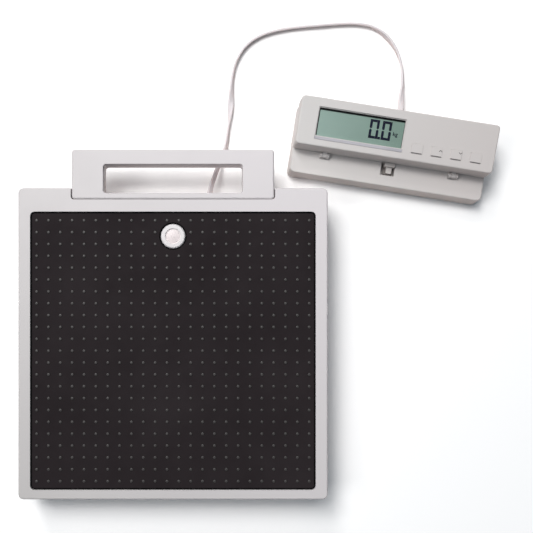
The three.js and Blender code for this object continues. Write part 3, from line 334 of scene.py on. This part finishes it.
def cord_sheath():
    """Soft grey-white plastic that lets a little light through."""
    finish = Finish("cord_sheath", roughness=0.55, specular=0.2)
    finish.mottle((218, 213, 215), (226, 221, 223), scale=50, detail=3)
    finish.shader.inputs["Subsurface Weight"].default_value = SHEATH_GLOW
    finish.shader.inputs["Subsurface Radius"].default_value = SHEATH_GLOW_COLOUR
    finish.shader.inputs["Subsurface Scale"].default_value = SHEATH_GLOW_DEPTH
    finish.vary_roughness(finish.noise(scale=300, detail=2), low=0.5, high=0.62)
    finish.bump(finish.noise(scale=700, detail=2), strength=0.2, distance=0.0001)
    return finish.material


# Outlines and solids
CORNER_STEPS = 6


def square(centre, width, height):
    cx, cy = centre
    return [(cx - width / 2, cy - height / 2), (cx + width / 2, cy - height / 2),
            (cx + width / 2, cy + height / 2), (cx - width / 2, cy + height / 2)]


def rounded(centre, width, height, radius):
    outline = []
    for corner, (sx, sy) in enumerate([(1, 1), (-1, 1), (-1, -1), (1, -1)]):
        for k in range(CORNER_STEPS + 1):
            angle = math.pi / 2 * (corner + k / CORNER_STEPS)
            outline.append((centre[0] + sx * (width / 2 - radius) + radius * math.cos(angle),
                            centre[1] + sy * (height / 2 - radius) + radius * math.sin(angle)))
    return outline


def circle(centre, radius, count):
    return [(centre[0] + radius * math.cos(2 * math.pi * k / count),
             centre[1] + radius * math.sin(2 * math.pi * k / count)) for k in range(count)]


def skin(mesh, loops):
    """Quads between loops that have the same number of corners."""
    for a, b in zip(loops, loops[1:]):
        for k in range(len(a)):
            n = (k + 1) % len(a)
            mesh.faces.new((a[k], a[n], b[n], b[k]))


def lift(mesh, outline, height):
    return [mesh.verts.new((x, y, height)) for x, y in outline]


def hoop(mesh, outer, inner, low, high):
    """A closed flat ring between two outlines."""
    loops = [lift(mesh, outer, low), lift(mesh, outer, high), lift(mesh, inner, high),
             lift(mesh, inner, low)]
    skin(mesh, loops + loops[:1])


def fill_in(mesh, loops):
    """A closed solid from loops: its skin and both its ends."""
    skin(mesh, loops)
    mesh.faces.new(list(reversed(loops[0])))
    mesh.faces.new(loops[-1])


def finish_piece(mesh, name, body, material, place=None, smooth=False):
    """Turns a mesh under way into a named piece that rides on a body."""
    bmesh.ops.recalc_face_normals(mesh, faces=mesh.faces)
    data = bpy.data.meshes.new(name)
    mesh.to_mesh(data)
    mesh.free()
    if place:
        data.transform(place)
    for polygon in data.polygons:
        polygon.use_smooth = smooth
    data.materials.append(material)
    piece = bpy.data.objects.new(name, data)
    bpy.context.scene.collection.objects.link(piece)
    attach(piece, body)
    return piece


# The cord, on the route that the part's source gives, in metres from the platform's centre
CORD_ROUTE = [
    (0.0373, 0.1588, 0.0148), (0.0375, 0.1618, 0.0148), (0.0383, 0.1668, 0.0148),
    (0.0401, 0.1735, 0.0144), (0.0427, 0.1815, 0.0130), (0.0459, 0.1908, 0.0107),
    (0.0496, 0.2003, 0.0081), (0.0542, 0.2128, 0.0049), (0.0570, 0.2266, 0.0033),
    (0.0586, 0.2409, 0.0034), (0.0600, 0.2552, 0.0027), (0.0612, 0.2695, 0.0023),
    (0.0618, 0.2815, 0.0032), (0.0630, 0.2945, 0.0034), (0.0670, 0.3108, 0.0034),
    (0.0763, 0.3266, 0.0034), (0.0913, 0.3380, 0.0034), (0.1107, 0.3448, 0.0033),
    (0.1342, 0.3486, 0.0033), (0.1626, 0.3510, 0.0033), (0.1839, 0.3526, 0.0033),
    (0.2017, 0.3523, 0.0034), (0.2182, 0.3483, 0.0034), (0.2332, 0.3380, 0.0034),
    (0.2442, 0.3228, 0.0034), (0.2500, 0.3052, 0.0034), (0.2506, 0.2867, 0.0058),
    (0.2498, 0.2795, 0.0074), (0.2489, 0.2731, 0.0086), (0.2482, 0.2670, 0.0095),
    (0.2477, 0.2616, 0.0098), (0.2472, 0.2575, 0.0098), (0.2467, 0.2536, 0.0098),
]
CORD_WIDTH = 0.0066
CORD_THICKNESS = 0.0028
CORD_STEP = 0.0015
CORD_SIDES = 20
# Steps between two points of the route, before the path is spaced evenly
ROUTE_STEPS = 12
# Powers that square the section's narrow ends and flatten its broad sides, and the groove in each
END_POWER = 0.7
SIDE_POWER = 0.55
SECTION_GROOVE = 0.1
SECTION_GROOVE_REACH = 0.3
# How far the flat cord has turned round its own run at each point of the route, in degrees
CORD_TURNS = [0, -20, -40, -52, -54, -56, -58, -60, -66, -88, -142, -205, -237, -251, -266, -282,
              -288, -291, -292, -293, -293, -288, -272, -256, -272, -290, -298, -305, -320, -338,
              -352, -360, -360]


def smooth_route(points, step):
    """Catmull-Rom points through the route, evenly spaced, each with its turn as a fourth value."""
    dense = []
    for k in range(len(points) - 1):
        before = points[max(k - 1, 0)]
        after = points[min(k + 2, len(points) - 1)]
        start = points[k]
        end = points[k + 1]
        for part in range(ROUTE_STEPS):
            t = part / ROUTE_STEPS
            dense.append((2 * start + (end - before) * t
                          + (2 * before - 5 * start + 4 * end - after) * t * t
                          + (3 * start - before - 3 * end + after) * t ** 3) / 2)
    dense.append(points[-1])
    spaced = [dense[0]]
    travelled = 0.0
    for a, b in zip(dense, dense[1:]):
        length = (b - a).xyz.length
        while travelled + length >= step:
            a = a.lerp(b, (step - travelled) / length)
            spaced.append(a)
            length = (b - a).xyz.length
            travelled = 0.0
        travelled += length
    spaced.append(dense[-1])
    return spaced


def flat_outline():
    """The cable's section: a flat oval with a shallow groove along each broad side."""
    outline = []
    for k in range(CORD_SIDES):
        angle = 2 * math.pi * k / CORD_SIDES
        across = math.cos(angle)
        up = math.sin(angle)
        x = CORD_WIDTH / 2 * math.copysign(abs(across) ** END_POWER, across)
        groove = 1 - SECTION_GROOVE * math.exp(-(across / SECTION_GROOVE_REACH) ** 2)
        y = CORD_THICKNESS / 2 * math.copysign(abs(up) ** SIDE_POWER, up) * groove
        outline.append((x, y))
    return outline


def make_cord(material):
    route = [Vector((*(PLATFORM + Vector(point)), turn)) for point, turn in zip(CORD_ROUTE, CORD_TURNS)]
    path = smooth_route(route, CORD_STEP)
    centres = [point.xyz for point in path]
    outline = flat_outline()
    mesh = bmesh.new()
    rings = []
    for k, centre in enumerate(centres):
        ahead = centres[min(k + 1, len(centres) - 1)]
        behind = centres[max(k - 1, 0)]
        along = (ahead - behind).normalized()
        side = along.cross(Vector((0, 0, 1))).normalized()
        up = side.cross(along).normalized()
        turn = math.radians(path[k].w)
        across = side * math.cos(turn) + up * math.sin(turn)
        over = up * math.cos(turn) - side * math.sin(turn)
        rings.append([mesh.verts.new(centre + across * x + over * y) for x, y in outline])
    fill_in(mesh, rings)
    cord = finish_piece(mesh, "flat_cord", "root", material, smooth=True)
    for polygon in cord.data.polygons:
        polygon.use_smooth = len(polygon.vertices) == 4
    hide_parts("display_cord")


# Stage: a pale floor that keeps the soft shadow and runs out into the white background
FLOOR_HALF = 2.0
FLOOR_DROP = 0.0002
# Distances from the middle between which the floor turns into the white background
FLOOR_FADE = (0.55, 0.95)
# Colours of the floor for the light that it sends back and for rays that see it directly
FLOOR_BOUNCE = (0.92, 0.79, 0.73, 1)
FLOOR_SEEN = (1.12, 1.12, 1.12, 1)


def seen_directly(tree):
    """1 for rays from the camera, from a gloss and through glass, and 0 for the rays that light."""
    rays = tree.nodes.new("ShaderNodeLightPath")
    total = rays.outputs["Is Camera Ray"]
    for kind in ("Is Glossy Ray", "Is Transmission Ray"):
        larger = tree.nodes.new("ShaderNodeMath")
        larger.operation = "MAXIMUM"
        tree.links.new(total, larger.inputs[0])
        tree.links.new(rays.outputs[kind], larger.inputs[1])
        total = larger.outputs["Value"]
    return total


def mix_shaders(tree, share, first, second):
    mix = tree.nodes.new("ShaderNodeMixShader")
    tree.links.new(share, mix.inputs["Fac"])
    tree.links.new(first, mix.inputs[1])
    tree.links.new(second, mix.inputs[2])
    return mix.outputs["Shader"]


def make_stage():
    mesh = bpy.data.meshes.new("floor")
    corners = [(*corner, 0) for corner in square((0, 0), 2 * FLOOR_HALF, 2 * FLOOR_HALF)]
    mesh.from_pydata(corners, [], [range(4)])
    floor = bpy.data.objects.new("floor", mesh)
    bpy.context.scene.collection.objects.link(floor)
    floor.location.z = -FLOOR_DROP
    material = bpy.data.materials.new("floor_paper")
    material.use_nodes = True
    tree = material.node_tree
    tree.nodes.clear()
    plain = tree.nodes.new("ShaderNodeBsdfDiffuse")
    plain.inputs["Color"].default_value = FLOOR_BOUNCE
    bright = tree.nodes.new("ShaderNodeBsdfDiffuse")
    bright.inputs["Color"].default_value = FLOOR_SEEN
    white = tree.nodes.new("ShaderNodeEmission")
    white.inputs["Color"].default_value = WHITE
    white.inputs["Strength"].default_value = 1.0
    place = tree.nodes.new("ShaderNodeTexCoord")
    distance = tree.nodes.new("ShaderNodeVectorMath")
    distance.operation = "LENGTH"
    tree.links.new(place.outputs["Object"], distance.inputs[0])
    span = tree.nodes.new("ShaderNodeMapRange")
    span.inputs["From Min"].default_value = FLOOR_FADE[0]
    span.inputs["From Max"].default_value = FLOOR_FADE[1]
    tree.links.new(distance.outputs["Value"], span.inputs["Value"])
    shown = mix_shaders(tree, span.outputs["Result"], bright.outputs["BSDF"], white.outputs["Emission"])
    mixed = mix_shaders(tree, seen_directly(tree), plain.outputs["BSDF"], shown)
    output = tree.nodes.new("ShaderNodeOutputMaterial")
    tree.links.new(mixed, output.inputs["Surface"])
    mesh.materials.append(material)


# Light
WORLD_COLOUR = (0.35, 0.7, 1.0, 1)
WORLD_STRENGTH = 0.07
# Softboxes 3 m up: the slope towards each from the platform's centre, its side and its power
SOFTBOX_HEIGHT = 3.0
SOFTBOXES = [{"lean": (-0.26, 0.42), "side": 1.3, "power": 76.4},
             {"lean": (0.1, 0.31), "side": 0.45, "power": 10.3},
             {"lean": (-0.65, -0.03), "side": 1.05, "power": 21.1},
             {"lean": (-0.32, 1.0), "side": 0.9, "power": 32.5}]
LAMP_COLOUR = (1.0, 0.985, 0.975)


def make_softbox(name, settings):
    lamp = bpy.data.lights.new(name, "AREA")
    lamp.shape = "SQUARE"
    lamp.size = settings["side"]
    lamp.energy = settings["power"]
    lamp.color = LAMP_COLOUR
    holder = bpy.data.objects.new(name, lamp)
    bpy.context.scene.collection.objects.link(holder)
    reach = Vector((*settings["lean"], 1)) * SOFTBOX_HEIGHT
    holder.location = PLATFORM + reach
    holder.rotation_euler = reach.to_track_quat("Z", "Y").to_euler()


def make_light():
    scene = bpy.context.scene
    scene.view_settings.view_transform = "Standard"
    world = bpy.data.worlds.new("studio")
    world.use_nodes = True
    background = world.node_tree.nodes["Background"]
    background.inputs["Color"].default_value = WORLD_COLOUR
    background.inputs["Strength"].default_value = WORLD_STRENGTH
    white = world.node_tree.nodes.new("ShaderNodeBackground")
    white.inputs["Color"].default_value = WHITE
    white.inputs["Strength"].default_value = 1.0
    mixed = mix_shaders(world.node_tree, seen_directly(world.node_tree), background.outputs["Background"],
                        white.outputs["Background"])
    world.node_tree.links.new(mixed, world.node_tree.nodes["World Output"].inputs["Surface"])
    scene.world = world
    for k, settings in enumerate(SOFTBOXES):
        make_softbox(f"softbox_{k + 1}", settings)


# Tread mat: a plate with soft edges and a grid of low studs, none over the level, in a groove lined with
# painted shade
STUD_COLUMNS = 24
STUD_ROWS = 23
STUD_PITCH = 0.01229
STUD_SIDES = 14
STUD_CLEARANCE = 0.002
# Distance from a stud's middle and height above the mat, in metres
STUD_PROFILE = [(0.0019, -0.0002), (0.00185, 0.0001), (0.0017, 0.0005), (0.0013, 0.00078),
                (0.0009, 0.00087), (0.0004, 0.0009)]
MAT_THICKNESS = 0.003
MAT_INSET = 0.0007
MAT_CORNER = 0.0034
MAT_HOLE = 0.0142
MAT_HOLE_STEPS = 64
# Inward step and drop below the top along the mat's soft edge
MAT_EDGE = [(0.0, 0.0005), (0.00015, 0.00015), (0.0005, 0.0)]
GROOVE_REACH = 0.0009
GROOVE_HEIGHT = 0.0012
BEZEL_RADIUS = 0.0129
mat_middle = (mat_low + mat_high) / 2
mat_top = mat_low.z + MAT_THICKNESS


def stud_places():
    for row in range(STUD_ROWS):
        for column in range(STUD_COLUMNS):
            x = mat_middle.x + (column - (STUD_COLUMNS - 1) / 2) * STUD_PITCH
            y = mat_middle.y + ((STUD_ROWS - 1) / 2 - row) * STUD_PITCH
            if math.hypot(x - LEVEL.x, y - LEVEL.y) > MAT_HOLE + STUD_CLEARANCE:
                yield x, y


def make_studs(material):
    mesh = bmesh.new()
    for x, y in stud_places():
        loops = [lift(mesh, circle((x, y), reach, STUD_SIDES), mat_top + rise)
                 for reach, rise in STUD_PROFILE]
        fill_in(mesh, loops)
    finish_piece(mesh, "mat_studs", "root", material, smooth=True)


def mat_outline(inset):
    return rounded(mat_middle, mat_high.x - mat_low.x - 2 * inset, mat_high.y - mat_low.y - 2 * inset,
                   MAT_CORNER - inset)


def fill_between(mesh, outer, inner):
    edges = [mesh.edges.get((loop[k], loop[(k + 1) % len(loop)]))
             for loop in (outer, inner) for k in range(len(loop))]
    bmesh.ops.triangle_fill(mesh, use_beauty=True, edges=edges)


def make_mat(material):
    mesh = bmesh.new()
    outer = [lift(mesh, mat_outline(MAT_INSET), mat_low.z)]
    hole = [lift(mesh, circle(LEVEL, MAT_HOLE, MAT_HOLE_STEPS), mat_low.z)]
    for step, drop in MAT_EDGE:
        outer.append(lift(mesh, mat_outline(MAT_INSET + step), mat_top - drop))
        hole.append(lift(mesh, circle(LEVEL, MAT_HOLE + step, MAT_HOLE_STEPS), mat_top - drop))
    skin(mesh, outer)
    skin(mesh, hole)
    fill_between(mesh, outer[-1], hole[-1])
    fill_between(mesh, outer[0], hole[0])
    mat = finish_piece(mesh, "studded_mat", "root", material)
    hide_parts("tread_mat")


def make_groove_shade(material):
    """Black strips of painted shade that line the gaps round the mat and round the level."""
    mesh = bmesh.new()
    top = mat_low.z + GROOVE_HEIGHT
    hoop(mesh, mat_outline(-GROOVE_REACH), mat_outline(MAT_INSET), mat_low.z, top)
    hoop(mesh, circle(LEVEL, MAT_HOLE, MAT_HOLE_STEPS), circle(LEVEL, BEZEL_RADIUS, MAT_HOLE_STEPS),
         mat_low.z, top)
    finish_piece(mesh, "mat_groove_shade", "root", material)


WELD_REACH = 0.00001
PLANAR_ANGLE = math.radians(0.5)
BEVEL_ANGLE = math.radians(35)
BEVEL_SEGMENTS = 2


def dress(piece, width):
    """Welds the facets, rounds the sharp edges a little and smooths the rest."""
    weld = piece.modifiers.new("weld", "WELD")
    weld.merge_threshold = WELD_REACH
    planar = piece.modifiers.new("planar", "DECIMATE")
    planar.decimate_type = "DISSOLVE"
    planar.angle_limit = PLANAR_ANGLE
    bevel = piece.modifiers.new("bevel", "BEVEL")
    bevel.width = width
    bevel.segments = BEVEL_SEGMENTS
    bevel.limit_method = "ANGLE"
    bevel.angle_limit = BEVEL_ANGLE
    bevel.use_clamp_overlap = True
    for polygon in piece.data.polygons:
        polygon.use_smooth = True
    normals = piece.modifiers.new("normals", "WEIGHTED_NORMAL")
    normals.keep_sharp = True


def paint(names, material, width):
    """Gives CAD nodes their material, with edges rounded by a width in metres."""
    for name in names:
        node = nodes[name]
        node.data.materials.clear()
        node.data.materials.append(material)
        dress(node, width)


COPIES = 4


def numbered(*parts):
    """The node names of all the copies of each part."""
    return [f"{part}_{k}" for part in parts for k in range(1, COPIES + 1)]


# Display: digits and marks
DIGIT_HEIGHT = 0.0198
DIGIT_WIDTH = 0.0100
DIGIT_STROKE = 0.0027
DIGIT_BREAK = 0.0002
DIGIT_POINT = 0.0009
DIGIT_PLACES = [(-0.0250, 0.0018), (-0.0118, 0.0018)]
DOT_PLACE = (-0.0186, -0.0068)
DOT_SIZE = 0.0026
LCD_TOP = -0.0029
INK_DEPTH = 0.0001
UNIT_PLACE = (-0.0022, -0.0004)
UNIT_SIZE = 0.0058
UNIT_WEIGHT = 0.0001


def nought(centre):
    """The lit bars of a seven-segment nought, joined above and below the break in its sides."""
    cx, cy = centre
    w = DIGIT_WIDTH / 2
    h = DIGIT_HEIGHT / 2
    tip = DIGIT_BREAK
    shoulder = DIGIT_BREAK + DIGIT_POINT
    inner = w - DIGIT_STROKE
    middle = w - DIGIT_STROKE / 2
    arch = [(-w, shoulder), (-w, h), (w, h), (w, shoulder), (middle, tip), (inner, shoulder),
            (inner, h - DIGIT_STROKE), (-inner, h - DIGIT_STROKE), (-inner, shoulder), (-middle, tip)]
    return [[(cx + x, cy + side * y) for x, y in arch] for side in (1, -1)]


def prisms(name, outlines, bottom, top, body, material, place):
    """Thin prisms on the panel, one for each outline."""
    mesh = bmesh.new()
    for outline in outlines:
        fill_in(mesh, [lift(mesh, outline, bottom), lift(mesh, outline, top)])
    finish_piece(mesh, name, body, material, place)


# Painted shade that frames the liquid crystal below the window: black left, right and rear bands standing
# in for the shade of the window's edges
WINDOW_X = -0.0393
WINDOW_Y = 0.0005
SIGHT_WIDTH = 0.0912
SIGHT_HEIGHT = 0.0293
SHADE_BAND_HIDDEN = 0.0012
SHADE_BAND_LEFT = 0.0009
SHADE_BAND_RIGHT = 0.0003
SHADE_BAND_REAR = 0.0020
SHADE_BAND_DEPTH = 0.0006


def make_window_shade(material):
    left = WINDOW_X - SIGHT_WIDTH / 2
    right = WINDOW_X + SIGHT_WIDTH / 2
    rear = WINDOW_Y + SIGHT_HEIGHT / 2
    band_y = rear + (SHADE_BAND_HIDDEN - SHADE_BAND_REAR) / 2
    side_y = WINDOW_Y - (SHADE_BAND_REAR + SHADE_BAND_HIDDEN) / 2
    side_height = SIGHT_HEIGHT - SHADE_BAND_REAR + SHADE_BAND_HIDDEN
    bands = [square((WINDOW_X, band_y), SIGHT_WIDTH + 2 * SHADE_BAND_HIDDEN, SHADE_BAND_REAR + SHADE_BAND_HIDDEN),
             square((left + (SHADE_BAND_LEFT - SHADE_BAND_HIDDEN) / 2, side_y), SHADE_BAND_LEFT + SHADE_BAND_HIDDEN, side_height),
             square((right + (SHADE_BAND_HIDDEN - SHADE_BAND_RIGHT) / 2, side_y), SHADE_BAND_RIGHT + SHADE_BAND_HIDDEN,
                    side_height)]
    prisms("lcd_window_shade", bands, LCD_TOP + INK_DEPTH, LCD_TOP + SHADE_BAND_DEPTH, "head", material, PANEL)


def make_digits(material):
    bars = [bar for centre in DIGIT_PLACES for bar in nought(centre)]
    bars.append(square(DOT_PLACE, DOT_SIZE, DOT_SIZE))
    prisms("lcd_digits", bars, LCD_TOP, LCD_TOP + INK_DEPTH, "head", material, PANEL)


def make_unit(material):
    text = bpy.data.curves.new("lcd_unit", "FONT")
    text.body = "kg"
    text.size = UNIT_SIZE
    text.offset = UNIT_WEIGHT
    text.extrude = INK_DEPTH / 2
    text.align_x = "CENTER"
    text.align_y = "CENTER"
    unit = bpy.data.objects.new("lcd_unit", text)
    bpy.context.scene.collection.objects.link(unit)
    unit.matrix_world = PANEL @ Matrix.Translation((*UNIT_PLACE, LCD_TOP + INK_DEPTH))
    text.materials.append(material)
    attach(unit, "head")


# Keys: a printed bar on each and a plain arrow on the middle two
KEY_COUNT = 4
UP_KEY = 1
DOWN_KEY = 2
KEY_FIRST_X = 0.02245
KEY_PITCH = 0.02085
KEY_Y = -0.012
KEY_TOP = 0.0006
KEY_WIDTH = 0.0119
KEY_HEIGHT = 0.0103
KEY_CORNER = 0.001
KEY_GAP = 0.00028
GASKET_SINK = 0.00015
GASKET_DEPTH = 0.001
BAR_WIDTH = 0.0108
BAR_HEIGHT = 0.0008
BAR_DROP = 0.0047
ARROW_WIDTH = 0.0034
ARROW_HEIGHT = 0.0014
ARROW_X = 0.0040
ARROW_Y = 0.0018
ARROW_STROKE = 0.0009


def arrow(centre, up):
    """A chevron that points up where up is 1 and down where it is -1."""
    cx, cy = centre
    half = ARROW_WIDTH / 2
    tip = ARROW_HEIGHT / 2 * up
    stroke = ARROW_STROKE * up
    return [(cx - half, cy - tip), (cx, cy + tip), (cx + half, cy - tip), (cx + half, cy - tip - stroke),
            (cx, cy + tip - stroke), (cx - half, cy - tip - stroke)]


def make_gaskets(material):
    """Soft seals that fill the gap round each key."""
    mesh = bmesh.new()
    for k in range(KEY_COUNT):
        centre = (KEY_FIRST_X + k * KEY_PITCH, KEY_Y)
        outer = rounded(centre, KEY_WIDTH + 2 * KEY_GAP, KEY_HEIGHT + 2 * KEY_GAP, KEY_CORNER + KEY_GAP)
        inner = rounded(centre, KEY_WIDTH + INK_DEPTH, KEY_HEIGHT + INK_DEPTH, KEY_CORNER)
        hoop(mesh, outer, inner, -GASKET_SINK - GASKET_DEPTH, -GASKET_SINK)
    finish_piece(mesh, "key_gaskets", "head", material, PANEL)


def make_key_marks(material):
    for k in range(KEY_COUNT):
        x = KEY_FIRST_X + k * KEY_PITCH
        outlines = [square((x, KEY_Y - BAR_DROP), BAR_WIDTH, BAR_HEIGHT)]
        if k in (UP_KEY, DOWN_KEY):
            outlines.append(arrow((x + ARROW_X, KEY_Y + ARROW_Y), 1 if k == UP_KEY else -1))
        prisms(f"key_mark_{k + 1}", outlines, KEY_TOP, KEY_TOP + INK_DEPTH / 2, f"key_{k + 1}",
               material, PANEL)


# Circular level: a pale seal round the lens and the printed circle on it
LENS_RADIUS = 0.0068
BORE_RADIUS = 0.0081
SEAL_DROP = 0.0009
BUBBLE_RING_RADIUS = 0.0017
BUBBLE_RING_LINE = 0.00028
BUBBLE_RING_DEPTH = 0.0003
BUBBLE_RING_RISE = 0.00005
RING_STEPS = 48


def make_ring(name, outer, inner, bottom, top, material):
    """A flat ring round the level's middle."""
    mesh = bmesh.new()
    hoop(mesh, circle(LEVEL, outer, RING_STEPS), circle(LEVEL, inner, RING_STEPS), bottom, top)
    finish_piece(mesh, name, "root", material)


def make_level(seal_material, ring_material):
    low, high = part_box("level_lens")
    make_ring("level_seal", BORE_RADIUS, LENS_RADIUS, low.z, high.z - SEAL_DROP, seal_material)
    make_ring("level_circle", BUBBLE_RING_RADIUS + BUBBLE_RING_LINE, BUBBLE_RING_RADIUS,
              high.z - BUBBLE_RING_DEPTH, high.z + BUBBLE_RING_RISE, ring_material)


# Painted light: where the tone of the big mouldings starts and ends its slow change, in metres along it,
# standing in for light falling off across them
SHELL_PAINTED_LIGHT_SLOPE = Vector((0.84, 0.54, 0))
SHELL_PAINTED_LIGHT_SPAN = [PLATFORM.dot(SHELL_PAINTED_LIGHT_SLOPE) + reach for reach in (-0.22, 0.22)]
DISPLAY_PAINTED_LIGHT_SPAN = [DISPLAY.dot(ALONG) + reach for reach in (-0.1, 0.1)]

# Heights between which the catch turns from painted shade on its lower part to its own pale top
CATCH_PAINTED_SHADE_SPAN = [0.0172, 0.0178]

make_camera()
sheath = cord_sheath()
make_cord(sheath)
make_stage()
make_light()

# Painted light: the shell goes from a darker to a paler tone across the platform, and the display plastic
# darkens a little along the display, as light falls on them
shell_finish = moulded_plastic("shell_plastic", (186, 183, 182), roughness=0.5,
                               painted_light_ramp=(SHELL_PAINTED_LIGHT_SLOPE, *SHELL_PAINTED_LIGHT_SPAN, (213, 208, 210)))
display_finish = moulded_plastic("display_plastic", (202, 199, 197), roughness=0.5,
                                 painted_light_ramp=(ALONG, *DISPLAY_PAINTED_LIGHT_SPAN, (199, 193, 191)))
# Painted shade: the catch is dark on its lower part, standing in for the shade in its pocket, and pale
# above
catch_finish = moulded_plastic("catch_plastic", (104, 97, 94), roughness=0.45, specular=0.3,
                               painted_light_ramp=((0, 0, 1), *CATCH_PAINTED_SHADE_SPAN, (200, 194, 191)))
base_finish = moulded_plastic("base_plastic", (150, 151, 153), roughness=0.62, spread=5)
white_finish = moulded_plastic("white_plastic", (217, 213, 214), roughness=0.4, grain=0.00006)
silicone_finish = moulded_plastic("silicone", (150, 150, 152), roughness=0.7)
steel = plated_steel()
ring_plastic = seal_plastic()
# Each finish, how wide the edges are rounded in metres, and the nodes that have it
FINISHES = [
    (shell_finish, 0.0005, ["platform_shell", "carry_handle"]),
    (base_finish, 0.0003, ["base_plate", "battery_lid", "stand_base_plate"]),
    (white_finish, 0.0003, ["level_bezel"]),
    (catch_finish, 0.0005, ["release_catch"]),
    (ring_plastic, 0.0002, ["level_vial"]),
    (level_plastic(), 0.0002, ["level_lens"]),
    (display_finish, 0.0004, ["stand_shell", "head_front_cover", "head_rear_cover"]),
    (display_finish, 0.0005, numbered("key")),
    (silicone_finish, 0.0002, ["key_mat"]),
    (clear_window(), 0.0001, ["window_pane"]),
    (lcd_face(), 0.0001, ["lcd_module"]),
    (label_film(), 0.0001, ["label_strip"]),
    (circuit_board(), 0.0001, ["main_board", "display_board"]),
    (cell_jacket(), 0.0003, numbered("battery_cell")),
    (steel, 0.0002, numbered("foot_screw", "load_cell", "base_screw", "head_screw")),
    (steel, 0.0002, ["hinge_pin_1", "hinge_pin_2"]),
    (foot_rubber(), 0.0003, numbered("foot_pad", "stand_foot")),
    (sheath, 0.0003, ["platform_gland", "stand_gland"]),
]
for material, edge, names in FINISHES:
    paint(names, material, edge)

make_mat(tread_rubber())
make_studs(stud_rubber())
# Painted shade: black strips in the gaps round the mat and the level, and black bands at the window's
# edges
painted_shade_finish = shade_black()
make_groove_shade(painted_shade_finish)
make_window_shade(painted_shade_finish)
make_gaskets(display_finish)
lcd = lcd_ink()
make_digits(lcd)
make_unit(lcd)
make_key_marks(print_ink("key_ink", (70, 66, 66), (96, 92, 92)))
make_level(ring_plastic, print_ink("level_ink", (212, 202, 203), (222, 212, 213)))
